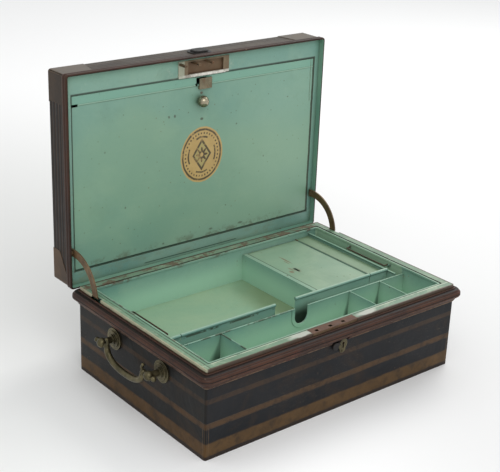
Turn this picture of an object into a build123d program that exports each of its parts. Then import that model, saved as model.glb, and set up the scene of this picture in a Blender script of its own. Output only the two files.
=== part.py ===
from build123d import *
import os, math

os.makedirs("parts", exist_ok=True)

# ---------------------------------------------------------------- sizes (mm)
W, D = 406.4, 270.4            # case outside, width (x) and depth (y)
T = 0.8                        # sheet
RC = 3.0                       # case corner radius
OV = 3.2                       # lid overhang each side
LH = 43.2                      # lid depth
HX, HZ = 141.5, 107.1          # lid hinge axis, y and z
Z_LEDGE, Z_FL = 111.3, 116.8   # moulding ledge, top of the rim flange
YE, ZR = 146.0, 110.2          # open lid: opening edge plane y, rear face z
FLX, FLY = 191.6, 122.8        # opening inside the rim flange, half sizes
TX, TY = 190.2, 121.4          # tray outside, half sizes
Z_TF, Z_TT = 66.2, 116.3       # tray floor underside, tray rim top
HW, HD = W/2, D/2
LW, LD = HW + OV, HD + OV      # lid half sizes
ST_RI, ST_RO = 42.5, 52.5      # stay arc radii
KN_X, KN_DY = -3.0, 217.0      # flap knob
BAIL_Y, BAIL_C, BAIL_Z = 47.5, 0.0, 79.0

def bx(x0, x1, y0, y1, z0, z1):
    return Pos((x0+x1)/2, (y0+y1)/2, (z0+z1)/2) * Box(abs(x1-x0), abs(y1-y0), abs(z1-z0))

def cz(x, y, z0, z1, r):
    return Pos(x, y, (z0+z1)/2) * Cylinder(r, z1-z0)

def cx(y, z, x0, x1, r):
    return Pos((x0+x1)/2, y, z) * Rot(0, 90, 0) * Cylinder(r, x1-x0)

def cy(x, z, y0, y1, r):
    return Pos(x, (y0+y1)/2, z) * Rot(90, 0, 0) * Cylinder(r, y1-y0)

def rr(hx, hy, r, z0, z1):
    return extrude(Pos(0, 0, z0) * RectangleRounded(2*hx, 2*hy, r), z1-z0)

def fuse(items):
    out = items[0]
    for s in items[1:]:
        out = out + s
    return out

def ring_profile(pts, hx, hy, r):
    """stack of ruled lofts between rounded rectangles; pts = [(offset, z)]"""
    parts = []
    for (d0, z0), (d1, z1) in zip(pts[:-1], pts[1:]):
        a = Pos(0, 0, z0) * RectangleRounded(2*(hx+d0), 2*(hy+d0), r+d0)
        b = Pos(0, 0, z1) * RectangleRounded(2*(hx+d1), 2*(hy+d1), r+d1)
        parts.append(loft([a, b], ruled=True))
    return fuse(parts)

def save(shape, name):
    if isinstance(shape, (list, ShapeList)):
        shape = Compound(children=list(shape)) if len(shape) > 1 else shape[0]
    export_step(shape, "parts/" + name + ".step")

def mir(s):
    return mirror(s, about=Plane.YZ)

# lid helper: lid-local (x, dy, dz) to the open pose
def lb(x0, x1, d0, d1, q0, q1):
    return bx(x0, x1, YE+q0, YE+q1, ZR+d0, ZR+d1)

# ---------------------------------------------------------------- case
wall = rr(HW, HD, RC, 0, 112.2) - rr(HW-T, HD-T, RC-T, -1, 114)
body = wall
KX, KZ0, KZ1 = 4.3, 83.4, 92.2
key_cut = bx(KX-1.2, KX+1.2, -HD-3, -HD+3, KZ0, KZ1-2) + cy(KX, KZ1-1.9, -HD-3, -HD+3, 2.0)
body = body - key_cut
# hinge pockets through the top of the rear wall
HG = [-120.0, 120.0]
HL = 64.0
post_holes = []
for s in (-1, 1):
    for y in (BAIL_C-BAIL_Y-3, BAIL_C+BAIL_Y+3):
        body = body - cx(y, BAIL_Z, s*HW-4, s*HW+4, 2.5)
save(body, "body_shell")

bottom = rr(HW-T, HD-T, RC-T, 0, T)
save(bottom, "bottom_plate")

# applied rim moulding
prof = [(0.9, 93.2), (1.6, 94.0), (1.6, 95.2), (2.8, 96.0), (3.6, 98.0), (5.0, 99.4), (6.2, 99.9),
        (7.2, 101.0), (8.8, 102.2), (9.5, 103.6), (9.5, 105.0), (8.9, 105.6), (9.4, 106.2), (9.2, 107.6),
        (8.2, 108.8), (7.4, 109.2), (7.0, 110.2), (5.8, 111.1), (5.2, Z_LEDGE), (2.1, Z_LEDGE+0.01), (1.9, 112.4), (1.4, 112.8)]
mould = ring_profile(prof, HW, HD, RC) - rr(HW, HD, RC, 90, 120)
for hx in HG:
    mould = mould - bx(hx-HL/2-2.4, hx+HL/2+2.4, HD-0.01, HD+12, 90, 118)
mould = mould - bx(-15.2, 12.2, -HD-6, -HD+1, 90, 97.2)      # relief over the keyhole
save(mould, "rim_moulding")

# rim frame: upstand and inward flange
SLY0, SLY1 = 84.5, 107.5
rim = (rr(HW-T, HD-T, RC-T, 98, Z_FL) - rr(HW-2*T, HD-2*T, RC-2*T+0.6, 97, Z_FL-T)
       - rr(FLX, FLY, 2.0, 97, 120))
rim = rim + (rr(FLX+T, FLY+T, 2.5, 113.4, Z_FL-0.1) - rr(FLX, FLY, 2.0, 97, 120))
LKX0, LKX1 = -46.0, 28.0
rim = rim - bx(LKX0, LKX1, -HD+T-1, -FLY+2, 97.0, 118)
for s in (-1, 1):
    rim = rim - bx(s*199.3, s*204.0, 85.0, 105.2, 112.0, 118)
    rim = rim - bx(s*199.3, s*204.0, SLY0, SLY1, 97, 114.0)
save(rim, "rim_frame")

# lock: top plate with three holes, case behind the wall, works
LH_X = (-36.0, -14.0, 7.0)
lplate = bx(LKX0+0.05, LKX1-0.05, -HD+T+0.05, -FLY, Z_FL-T, Z_FL)
for x in LH_X:
    lplate = lplate - Pos(x, -130.2, Z_FL) * Box(5.2, 4.4, 6)
save(lplate, "lock_plate")
LCY0, LCY1, LCZ0, LCZ1 = -HD+T, -124.4, 77.0, Z_FL-T
lcase = bx(-45, 27, LCY0, LCY1, LCZ0, LCZ1) - bx(-44, 26, LCY0+T, LCY1-T, LCZ0+T, LCZ1+2)
lcase = lcase - key_cut
save(lcase, "lock_case")
YB0, YB1 = LCY0+T, LCY1-T        # inside of the lock case: -133.6 .. -125.2
# lever pack on a post, with a flat spring
lev = []
for i in range(3):
    y0 = -128.6 + i*1.1
    lv = bx(-22, 14, y0, y0+0.8, 86.0, 94.5) + cy(-24, 90.25, y0, y0+0.8, 5.0)
    lv = lv - cy(-24, 90.25, y0-1, y0+2, 2.05) - bx(0, 9, y0-1, y0+2, 84, 89.0 - 0.6*i)
    lev.append(lv)
save(Compound(children=lev), "lock_levers")
save(cy(-24, 90.25, -128.9, YB1, 2.0) + cy(-24, 90.25, -129.3, -128.9, 3.2), "lever_post")
spr = bx(-40, -6, -127.6, -126.6, 96.2, 96.6) + bx(-43.6, -39.6, -128.4, -125.2, 94.0, 98.6)
save(spr, "lever_spring")
# sliding bolt: plate above the levers with three hooks
bolt = bx(-36, 18, -131.2, -129.2, 99.0, 103.4)
for x in LH_X:
    bolt = bolt + bx(x+8.0, x+11.0, -131.2, -129.2, 103.0, 110.4) + bx(x+2.3, x+8.1, -130.8, -129.6, 107.2, 109.6)
bolt = bolt + bx(2.0, 7.6, -131.2, -129.2, 95.0, 99.2)
save(bolt, "lock_bolt")
guide = bx(-44, 26, -133.6, -128.9, 97.6, 98.7)
guide = guide - bx(-4.5, 9.0, -135, -128, 97, 99)
save(guide, "bolt_guide")

# escutcheon, pins, swing cover
esc = cy(KX-0.9, 89.4, -HD-1.2, -HD, 7.3) + bx(KX-5.6, KX+3.8, -HD-1.2, -HD, 82.6, 89.4) + cy(KX-0.9, 82.6, -HD-1.2, -HD, 4.7)
CPX, CPZ = -1.6, 93.6            # swing cover pivot
CVX, CVZ = -9.5, 90.1            # where the cover's disc rests, pushed aside
esc = esc - key_cut - cy(CPX, CPZ, -HD-6, -HD+1, 1.0)
save(esc, "escutcheon")
save(cy(KX-0.9, 79.4, -HD-1.9, -HD-1.2, 1.1), "escutcheon_pin")
save(cy(CPX, CPZ, -HD-3.4, -HD, 1.0) + cy(CPX, CPZ, -HD-3.95, -HD-3.4, 1.9), "cover_pin")
_a = math.atan2(CVZ-CPZ, CVX-CPX)
_l = math.hypot(CVZ-CPZ, CVX-CPX)
arm = Pos((CPX+CVX)/2, -HD-2.35, (CPZ+CVZ)/2) * Rot(0, -math.degrees(_a), 0) * Box(_l, 1.7, 4.4)
cov = cy(CPX, CPZ, -HD-3.2, -HD-1.5, 2.7) + arm + cy(CVX, CVZ, -HD-3.4, -HD-1.5, 4.8)
cov = cov - cy(CPX, CPZ, -HD-6, -HD+1, 1.05)
save(cov, "keyhole_cover")

# ledges that carry the tray (front and rear walls only)
for nm, s in (("ledge_front", -1), ("ledge_rear", 1)):
    l = bx(-184, 184, s*(HD-T), s*(115.4), 65.2, 66.0) + bx(-184, 184, s*(HD-T), s*(HD-2*T), 52.0, 66.0)
    save(l, nm)

# ---------------------------------------------------------------- hinges
def barrel(x0, x1, r=3.2):
    return cx(HX, HZ, x0, x1, r)
case_lv, lid_lv, pinz = [], [], []
for hx in HG:
    x0, x1 = hx-HL/2, hx+HL/2
    k = [(x0, x0+15), (x0+24.5, x0+39.5), (x1-15, x1)]
    g = bx(x0, x1, HD, HD+1.2, 84.0, 105.0)
    for a, b in k:
        g = g + barrel(a, b) + bx(a, b, HD, HX, HZ-3.2, HZ-1.9)
    g = g - cx(HX, HZ, x0-1, x1+1, 1.6)
    case_lv.append(g)
    k2 = [(x0+15.3, x0+24.2), (x0+39.8, x1-15.3)]
    h = bx(x0, x1, YE+0.3, YE+16, ZR-1.2, ZR)
    for a, b in k2:
        h = h + barrel(a, b, 3.1) + bx(a, b, HX, YE+0.6, ZR-1.2, ZR)
    h = h - cx(HX, HZ, x0-1, x1+1, 1.65)
    lid_lv.append(h)
    pinz.append(cx(HX, HZ, x0-0.6, x1+0.6, 1.6) + cx(HX, HZ, x0-1.6, x0, 2.3) + cx(HX, HZ, x1, x1+1.6, 2.3))
save(Compound(children=case_lv), "hinge_leaves_case")
save(Compound(children=lid_lv), "hinge_leaves_lid")
save(Compound(children=pinz), "hinge_pins")
riv = []
for hx in HG:
    for dx in (-24, 0, 24):
        riv.append(Pos(hx+dx, HD+1.2, 91.0) * Rot(-90, 0, 0) * (Cylinder(2.4, 0.9, align=(Align.CENTER, Align.CENTER, Align.MIN))))
save(Compound(children=riv), "case_rivets")
rivl = []
for hx in HG:
    for dx in (-24, 0, 24):
        rivl.append(cz(hx+dx, YE+10.5, ZR-2.1, ZR-1.2, 2.4))
save(Compound(children=rivl), "lid_rivets")

# ---------------------------------------------------------------- bail handles
PYO = BAIL_Y + 3
def posts(s):
    out = []
    for sy in (-1, 1):
        y = BAIL_C + sy*PYO
        base = cx(y, BAIL_Z, s*HW, s*(HW+2.2), 14.0) if s > 0 else cx(y, BAIL_Z, -HW-2.2, -HW, 14.0)
        def cs(a, b, r):
            a2, b2 = sorted((s*a, s*b))
            return cx(y, BAIL_Z, a2, b2, r)
        p = base + cs(HW+2.0, HW+3.8, 10.5) + cs(HW+3.6, HW+6.0, 6.2) + cs(HW+5.8, HW+15.0, 4.2)
        p = p + Pos(s*(HW+19.5), y, BAIL_Z) * Sphere(6.2)
        p = p + cs(HW-T, HW+1, 2.5)
        p = p - cy(s*(HW+19.5), BAIL_Z, BAIL_C-70, BAIL_C+70, 1.75)
        out.append(p)
    return Compound(children=out)
save(posts(-1), "handle_posts_left")
save(posts(1), "handle_posts_right")
nuts = []
for s in (-1, 1):
    for sy in (-1, 1):
        y = BAIL_C + sy*PYO
        n = Pos(s*(HW-T-1.6), y, BAIL_Z) * Rot(0, 90, 0) * extrude(RegularPolygon(5.0, 6), 1.6, both=True)
        nuts.append(n)
save(Compound(children=nuts), "handle_nuts")

BXH = HW + 19.5
def bail(s):
    # a thick bow under two eyes, each leg ending in a small scroll
    yl = 38.6
    path_pts = [(yl-0.6, BAIL_Z-4.6), (yl-4.0, BAIL_Z-10.6), (yl-11.5, BAIL_Z-15.6), (yl-23.0, BAIL_Z-18.8), (0, BAIL_Z-19.8)]
    full = path_pts + [(-a, b) for a, b in path_pts[-2::-1]]
    spl = Spline(*[(s*BXH, a, b) for a, b in full])
    pl = Plane(origin=spl @ 0, z_dir=spl % 0)
    bow = sweep(pl * Circle(3.9), path=spl)
    legs = []
    for sy in (-1, 1):
        legs.append(Pos(s*BXH, sy*(yl-0.6), BAIL_Z-4.6) * Sphere(3.9))
        legs.append(cz(s*BXH, sy*(yl-0.3), BAIL_Z-5.0, BAIL_Z, 3.2))
        legs.append(Pos(s*BXH, sy*39.2, BAIL_Z) * Sphere(3.9))
        curl = Spline((s*BXH, sy*38.6, BAIL_Z+1.0), (s*BXH, sy*36.6, BAIL_Z+5.6), (s*BXH, sy*38.6, BAIL_Z+9.0))
        cp_ = Plane(origin=curl @ 0, z_dir=curl % 0)
        legs.append(sweep(cp_ * Circle(1.9), path=curl))
        legs.append(Pos(s*BXH, sy*38.6, BAIL_Z+9.0) * Sphere(2.3))
        legs.append(cy(s*BXH, BAIL_Z, *sorted((sy*39.0, sy*60.5)), 1.7))
        legs.append(Pos(s*BXH, sy*60.6, BAIL_Z) * Sphere(3.4))
    b = fuse([bow] + legs)
    return b
for nm, s in (("bail_left", -1), ("bail_right", 1)):
    b = bail(s)
    save(b, nm)

# ---------------------------------------------------------------- lid (open pose)
def lrr(hx, d0, d1, r, q0, q1):
    """rounded rectangle in x / lid depth, extruded along dz (world +y)"""
    pl = Plane(origin=(0, YE+q0, ZR+(d0+d1)/2), x_dir=(1, 0, 0), z_dir=(0, 1, 0))
    return extrude(pl * RectangleRounded(2*hx, d1-d0, r), q1-q0)
LDP = 2*LD                       # lid depth outside, 276.8
shell = lrr(LW, 0, LDP, RC, 0, LH) - lrr(LW-T, T, LDP-T, RC-T, -1, LH-T)
shell_in = lrr(LW-T, T, LDP-T, RC-T, 0, LH-T)
save(shell, "lid_shell")

def lring(pts):
    parts = []
    for (e0, q0), (e1, q1) in zip(pts[:-1], pts[1:]):
        def sec(e, q):
            pl = Plane(origin=(0, YE+q, ZR+LDP/2), x_dir=(1, 0, 0), z_dir=(0, 1, 0))
            return pl * RectangleRounded(2*(LW+e), LDP+2*e, RC+e)
        parts.append(loft([sec(e0, q0), sec(e1, q1)], ruled=True))
    return fuse(parts)
bead = lring([(0.8, 0.3), (1.6, 0.9), (1.9, 2.4), (1.9, 4.0), (1.1, 4.8), (1.1, 6.0), (1.7, 6.6), (1.8, 8.6), (1.3, 10.0), (0.8, 12.0)])
bead = bead - lrr(LW, 0, LDP, RC, -1, 20)
for hx in HG:
    bead = bead - bx(hx-HL/2-0.6, hx+HL/2+0.6, YE-1, YE+20, ZR-5, ZR+0.3)
save(bead, "lid_edge_bead")

# corner plates, four, each wrapping one corner
PT = 0.6
outer_skin = (lrr(LW+PT, -PT, LDP+PT, RC+PT, 12.2, LH+PT) - lrr(LW, 0, LDP, RC, 0, LH))
def corner(front, s):
    if front:
        d0, d1 = LDP-38.0, LDP+2
        # front wall part with a slanted end, side wall part with a square end
        blk = lb(*sorted((s*150.0, s*(LW+2))), LDP-0.01, LDP+2, 12.2, LH+2)
        cutw = Plane(origin=(0, 0, ZR+LDP-1), x_dir=(1, 0, 0), z_dir=(0, 0, 1))
        tri = extrude(cutw * make_face(Polyline([(s*140, YE+12.0), (s*164, YE+12.0), (s*157, YE+LH+3), (s*140, YE+LH+3)], close=True)), 6)
        blk = blk - tri
        side = lb(*sorted((s*(LW-0.01), s*(LW+2))), LDP-38.0, LDP+2, 12.2, LH+2)
        top = lb(*sorted((s*158, s*(LW+2))), LDP-40, LDP+2, LH-0.01, LH+2)
        pl = Plane(origin=(0, YE+LH-1, 0), x_dir=(1, 0, 0), z_dir=(0, 1, 0))
        return blk + side + top
    side = lb(*sorted((s*(LW-0.01), s*(LW+2))), -2, 43.0, 12.2, LH+2)
    pl = Plane(origin=(s*(LW-1), 0, 0), x_dir=(0, 1, 0), z_dir=(1, 0, 0))
    tri = extrude(pl * make_face(Polyline([(YE+10, ZR+12.0), (YE+28, ZR+43.2), (YE+10, ZR+46)], close=True)), 6, both=True)
    side = side - tri
    back = lb(*sorted((s*158.0, s*(LW+2))), -2, 0.01, 12.2, LH+2)
    top = lb(*sorted((s*158, s*(LW+2))), -2, 40, LH-0.01, LH+2)
    return side + back + top
cps = []
for front in (True, False):
    for s in (-1, 1):
        reg = corner(front, s)
        # round the free top corner
        cps.append(outer_skin & reg)
save(Compound(children=[c for c in cps]), "lid_corner_plates")

# thumb lug on the front wall: a domed hollow plate
lug = Pos(6.4, YE+24.0, ZR+LDP) * (Box(30, 24, 1.2, align=(Align.CENTER, Align.CENTER, Align.MIN)))
lug = fillet(lug.edges().filter_by(Axis.Z), 8.0)
lug2 = Pos(6.4, YE+24.0, ZR+LDP+1.1) * (Box(23, 18, 2.6, align=(Align.CENTER, Align.CENTER, Align.MIN)))
lug2 = fillet(lug2.edges().filter_by(Axis.Z), 6.5)
lug2 = fillet(lug2.faces().sort_by(Axis.Z)[-1].edges(), 1.8)
save(lug + lug2, "thumb_lug")

# frame round the pocket, 8 mm behind the opening edge
FQ = 8.0
FXI, FD0, FD1 = 197.0, 19.0, 249.8
fr = lrr(LW-T, T, LDP-T, RC-T, FQ, FQ+T) - lb(-FXI, FXI, FD0, FD1, FQ-2, FQ+4)
fr = fr + (lrr(LW-T, T, LDP-T, RC-T, FQ+0.4, FQ+7) - lrr(LW-2*T, 2*T, LDP-2*T, RC-T-0.4, FQ+0.4, FQ+8))
fr = fr - lb(-24, 35, 253.0, 270.8, FQ-2, FQ+4)
PVY, PVZ = YE+FQ+2.2, ZR+21.6        # flap pivot
for s in (-1, 1):
    fr = fr + bx(s*(FXI), s*(FXI+T), PVY-3.0, PVY+3.4, PVZ-4.2, PVZ+4.2)
    fr = fr - cx(PVY, PVZ, *sorted((s*(FXI-3), s*(FXI+4))), 1.2)
save(fr, "lid_inner_frame")
fp = []
for s in (-1, 1):
    fp.append(cx(PVY, PVZ, *sorted((s*(FXI-9), s*(FXI+1.6))), 1.2))
save(Compound(children=fp), "flap_pivot_pins")

# strike plate: sunk rusty box with a proud lower lip, three staples for the bolt
sp = lb(-38.5, 43.5, 250.2, 272.2, FQ-T, FQ) - lb(-24, 35, 253.0, 270.8, FQ-2, FQ+2)
box_in = (lb(-24.0, 35.0, 253.0, 270.8, FQ-T, FQ+3.2) - lb(-23.2, 34.2, 253.8, 270.0, FQ-2, FQ+2.4))
sp = sp + box_in
sp = sp + lb(-38.5, 36.5, 250.2, 253.0, FQ-2.4, FQ-T+0.05) - lb(-37.5, 35.5, 251.0, 254, FQ-2.6, FQ-1.6)
save(sp, "strike_plate")
stp = []
DYS = 138.4 + 130.2
for x in LH_X:
    base = FQ+2.4 if -23 < x < 34 else FQ-T
    u = lb(x-1.7, x+1.7, DYS-1.4, DYS+1.4, -6.2, base)
    u = u - lb(x-3, x+3, DYS-0.8, DYS+0.8, -4.9, -1.6)
    stp.append(u)
save(Compound(children=stp), "strike_staples")

# stays: arcs about the lid's rear edge, bent foot under the flange
def stay(s):
    pl = Plane(origin=(s*200.1 if s > 0 else -202.1, YE, ZR), x_dir=(0, 1, 0), z_dir=(1, 0, 0))
    ring = Circle(ST_RO) - Circle(ST_RI)
    arc = extrude(pl * ring, 2.0)
    keep = bx(*sorted((s*190.0, s*210.0)), 60, YE, 114.5, 170)
    arc = arc & keep
    arc = arc + bx(*sorted((s*200.1, s*202.1)), YE-0.05, YE+7.2, ZR+ST_RI, ZR+ST_RO)
    yo = YE - math.sqrt(ST_RO**2 - (114.5-ZR)**2)
    yi = YE - math.sqrt(ST_RI**2 - (114.5-ZR)**2)
    foot = bx(*sorted((s*194.4, s*202.1)), yo+0.05, yi-0.05, 114.5, 115.7)
    arc = arc + foot
    arc = arc - bx(*sorted((s*200.9, s*203.0)), 60, 120, 114.0, 116.4)
    return arc
save(stay(-1), "stay_left")
save(stay(1), "stay_right")
sr = []
for s in (-1, 1):
    c = cx(YE+4.2, ZR+47.5, *sorted((s*202.1, s*(LW-T))), 2.4)
    h = cx(YE+4.2, ZR+47.5, *sorted((s*199.5, s*200.1)), 2.6)
    sr.append(c)
    sr.append(h)
save(Compound(children=sr), "stay_rivets")

# ---------------------------------------------------------------- document flap
FLX2 = 196.6
flap = lb(-FLX2, FLX2, 24.0, 249.2, FQ, FQ+T)
flap = flap + lb(-FLX2, FLX2, 20.0, 24.05, FQ, FQ+T)
flap = flap + cx(PVY, PVZ, -FLX2, FLX2, 2.2)
# side returns of the flap
for s in (-1, 1):
    flap = flap + lb(*sorted((s*(FLX2-T), s*FLX2)), 24.0, 236.0, FQ, FQ+5.0)
flap = flap + lb(-FLX2, FLX2, 236.8, 238.2, FQ-0.5, FQ+0.05)
flap = flap - cx(PVY, PVZ, -FLX2-1, -FLX2+10, 1.25) - cx(PVY, PVZ, FLX2-10, FLX2+1, 1.25)
# latch window and knob hole
flap = flap - lb(-9.0, 7.0, 239.0, 247.6, FQ-2, FQ+2) - lb(-10.5, -7.0, 236.2, 240.0, FQ-2, FQ+2)
flap = flap - cy(KN_X, ZR+KN_DY, YE+FQ-2, YE+FQ+3, 2.6)
flap = flap - lb(-197.5, -188.0, 235.0, 238.5, FQ-2, FQ+6)
tab = lb(-6.0, 14.0, 232.4, 236.75, FQ-3.4, FQ) + lb(-6.0, 14.0, 236.7, 246.8, FQ-3.4, FQ-2.4) + lb(13.0, 14.0, 232.4, 246.8, FQ-3.4, FQ)
save(tab, "latch_tab")
save(flap - tab, "flap_panel")
# knob: ball, neck, spindle and keeper nut
KY = YE
kn = Pos(KN_X, YE+0.2, ZR+KN_DY) * Sphere(7.75)
kn = kn + cy(KN_X, ZR+KN_DY, YE+5.0, YE+FQ-0.4, 4.0) + cy(KN_X, ZR+KN_DY, YE+5.0, YE+FQ+T+1.2, 2.55)
kn = kn + cy(KN_X, ZR+KN_DY, YE+FQ+T+1.1, YE+FQ+T+2.9, 3.6) + lb(KN_X, KN_X+34.0, KN_DY-1.6, KN_DY+1.6, FQ+T+1.2, FQ+T+2.2)
save(kn, "flap_knob")
wsh = cy(KN_X, ZR+KN_DY, YE+FQ+T, YE+FQ+T+0.6, 6.0) - cy(KN_X, ZR+KN_DY, YE+FQ, YE+FQ+4, 2.65)
save(wsh, "knob_washer")

# ---------------------------------------------------------------- tray
pan = rr(TX, TY, 2.4, Z_TF, Z_TT) - rr(TX-T, TY-T, 1.8, Z_TF+T, Z_TT+1)
# rolled rim on the pan, inward
rim_t = (rr(TX, TY, 2.4, Z_TT-2.4, Z_TT) - rr(TX-2.0, TY-2.0, 1.6, Z_TT-3, Z_TT+1))
pan = pan + rim_t
save(pan, "tray_pan")
ZF = Z_TF + T
XI, YI = TX-T, TY-T
XR = 174.0
def hem_wall(x0, x1, y, top, r=2.2):
    w_ = bx(x0, x1, y-T/2, y+T/2, ZF, top-r) + cx(y, top-r, x0, x1, r)
    return w_
wa_l = hem_wall(-XI, -24.0, -39.5, 113.0)
wa_l = wa_l - bx(-170.6, -169.6, -45, -35, 104, 120)
save(wa_l, "wall_a_left")
wa_r = hem_wall(9.4, XR-T/2, -39.5, 113.0)
wa_r = wa_r - bx(140.6, 141.6, -45, -38.9, 100, 120) - bx(140.6, 141.6, -42.5, -36.5, 108.5, 120)
save(wa_r, "wall_a_right")
# second cross wall with the U notch
NX0, NX1, NDEP = -5.7, 16.2, 23.0
ncx, nr = (NX0+NX1)/2, (NX1-NX0)/2
wb = bx(-XI, XI, -56-T/2, -56+T/2, ZF, 107.0)
hemb = cx(-56, 106.6, -XI, XI, 0.9)
wb = wb + hemb
ncut = bx(NX0, NX1, -62, -50, 107.5-NDEP+nr, 115) + cy(ncx, 107.5-NDEP+nr, -62, -50, nr)
wb = wb - ncut
save(wb, "wall_b")
lip_o = bx(NX0-5.0, NX1+5.0, -56-T/2-1.0, -56-T/2, 107.5-NDEP+nr, 107.4) + cy(ncx, 107.5-NDEP+nr, -56-T/2-1.0, -56-T/2, nr+5.0)
save(lip_o - ncut - wb, "notch_lip")
# front dividers
dv = []
for x in (-122.5, 88.5, 144.0):
    dv.append(bx(x-T/2, x+T/2, -YI, -56-T/2-0.0, ZF, 106.8) + cy(x, 106.7, -YI, -56-T/2-0.9, 0.8) - wb)
save(Compound(children=dv), "front_dividers")
# cash compartment: left wall with its rim ledge, side strip, ridge wall
CB_X0, CB_X1, CB_Y0, CB_Y1, CB_Z = 58.8, 149.6, -36.6, 118.8, 105.5
cw = bx(52.0, 52.8, -39.1, YI, ZF, CB_Z) + bx(52.0, 58.2, -37.2, YI, CB_Z-T, CB_Z)
save(cw, "cash_wall")
ssx = bx(150.4, XR-T/2, -39.1, YI, CB_Z-T, CB_Z)
ssx = ssx + bx(150.4, 151.2, -39.1, YI, 96.0, CB_Z)
save(ssx, "side_strip")
rw = bx(XR-T/2, XR+T/2, -56+T/2, YI, ZF, 110.4) + cy(XR, 109.6, -55.4, YI, 1.4)
save(rw - wa_r - wb, "ridge_wall")
save(Compound(children=[bx(52.8, 150.4, -39.1, -37.0, 101.6, 102.4)]), "cash_ledge")
# cash lid on a pin along its right edge
CHX, CHZ = 149.0, CB_Z
cl = bx(CB_X0, 147.4, CB_Y0, CB_Y1, CB_Z-T, CB_Z)
cl = cl + bx(CB_X0, CB_X0+T, CB_Y0+0.4, CB_Y1-0.4, CB_Z-5, CB_Z) + bx(CB_X0, 145, CB_Y0, CB_Y0+T, CB_Z-2.6, CB_Z)
knk = [(-30.0, -5.0), (30.0, 55.0), (88.0, 113.0)]
for a, b in knk:
    cl = cl + cy(CHX, CHZ, a, b, 1.3) + bx(147.3, CHX, a, b, CB_Z-T, CB_Z)
cl = cl - cy(CHX, CHZ, -60, 140, 0.75)
cl = cl - bx(78.0, 81.0, 31.8, 40.4, 100, 110) - cz(79.5, 41.4, 100, 110, 2.2)
# lock box under the cash lid
cl = cl + bx(63.0, 96.0, 26.0, 50.0, CB_Z-9.0, CB_Z-8.2) + bx(63.0, 63.8, 26.0, 50.0, CB_Z-9, CB_Z-T+0.05) + bx(95.2, 96.0, 26.0, 50.0, CB_Z-9, CB_Z-T+0.05) + bx(63.0, 96.0, 26.0, 26.8, CB_Z-9, CB_Z-T+0.05) + bx(63.0, 96.0, 49.2, 50.0, CB_Z-9, CB_Z-T+0.05)
cl = cl - bx(57.0, 64.5, 34.6, 41.4, CB_Z-5.4, CB_Z-2.4)
save(cl, "cash_lid")
cp = cy(CHX, CHZ, -39.1, YI, 0.7)
hk = []
for a, b in ((-4.4, 29.4), (55.6, 87.4)):
    hk.append(cy(CHX, CHZ, a, b, 1.3) + bx(CHX, 150.4, a, b, CHZ-T, CHZ) - cy(CHX, CHZ, -60, 140, 0.7))
save(Compound(children=hk), "cash_hinge_knuckles")
save(cp, "cash_hinge_pin")
cbolt = bx(59.9, 76.0, 35.0, 41.0, CB_Z-5.0, CB_Z-2.8)
save(cbolt, "cash_bolt")
# end handles of folded wire
def th(s):
    px, z = s*187.6, 110.5   # pivot line beside the end wall
    y0, y1 = -28.0, 46.0
    xi = s*179.7
    wire = FilletPolyline((px, y0-3.4, z), (px, y0, z), (xi, y0, z), (xi, y1, z), (px, y1, z), (px, y1+3.4, z), radius=1.5)
    pl = Plane(origin=wire @ 0, z_dir=wire % 0)
    return sweep(pl * Circle(1.0), path=wire)
for nm, s in (("tray_handle_left", -1), ("tray_handle_right", 1)):
    save(th(s), nm)
lugs = []
for s in (-1, 1):
    for y in (-30.65, 48.65):
        px = s*187.6
        l = bx(*sorted((s*XI, s*185.8)), y-1.1, y+1.1, 108.7, 112.3) - cy(px, 110.5, y-3, y+3, 1.05)
        lugs.append(l)
save(Compound(children=lugs), "tray_handle_lugs")
print("done")
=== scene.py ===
import bpy, math
from mathutils import Vector, Matrix, Quaternion

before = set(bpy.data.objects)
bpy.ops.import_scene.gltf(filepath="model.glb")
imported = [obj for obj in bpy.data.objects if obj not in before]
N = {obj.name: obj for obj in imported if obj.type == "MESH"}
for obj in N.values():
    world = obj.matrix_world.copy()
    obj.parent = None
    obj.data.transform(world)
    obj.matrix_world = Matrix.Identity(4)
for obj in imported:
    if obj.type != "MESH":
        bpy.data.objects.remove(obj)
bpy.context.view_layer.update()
YE, ZR = 0.146, 0.1102          # open lid: opening edge plane (y), rear face (z)

# ------------------------------------------------------------------ node graph helper
def lin(r, g, b):
    def f(c):
        c = c / 255.0
        return c / 12.92 if c <= 0.04045 else ((c + 0.055) / 1.055) ** 2.4
    return (f(r), f(g), f(b), 1.0)


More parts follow.
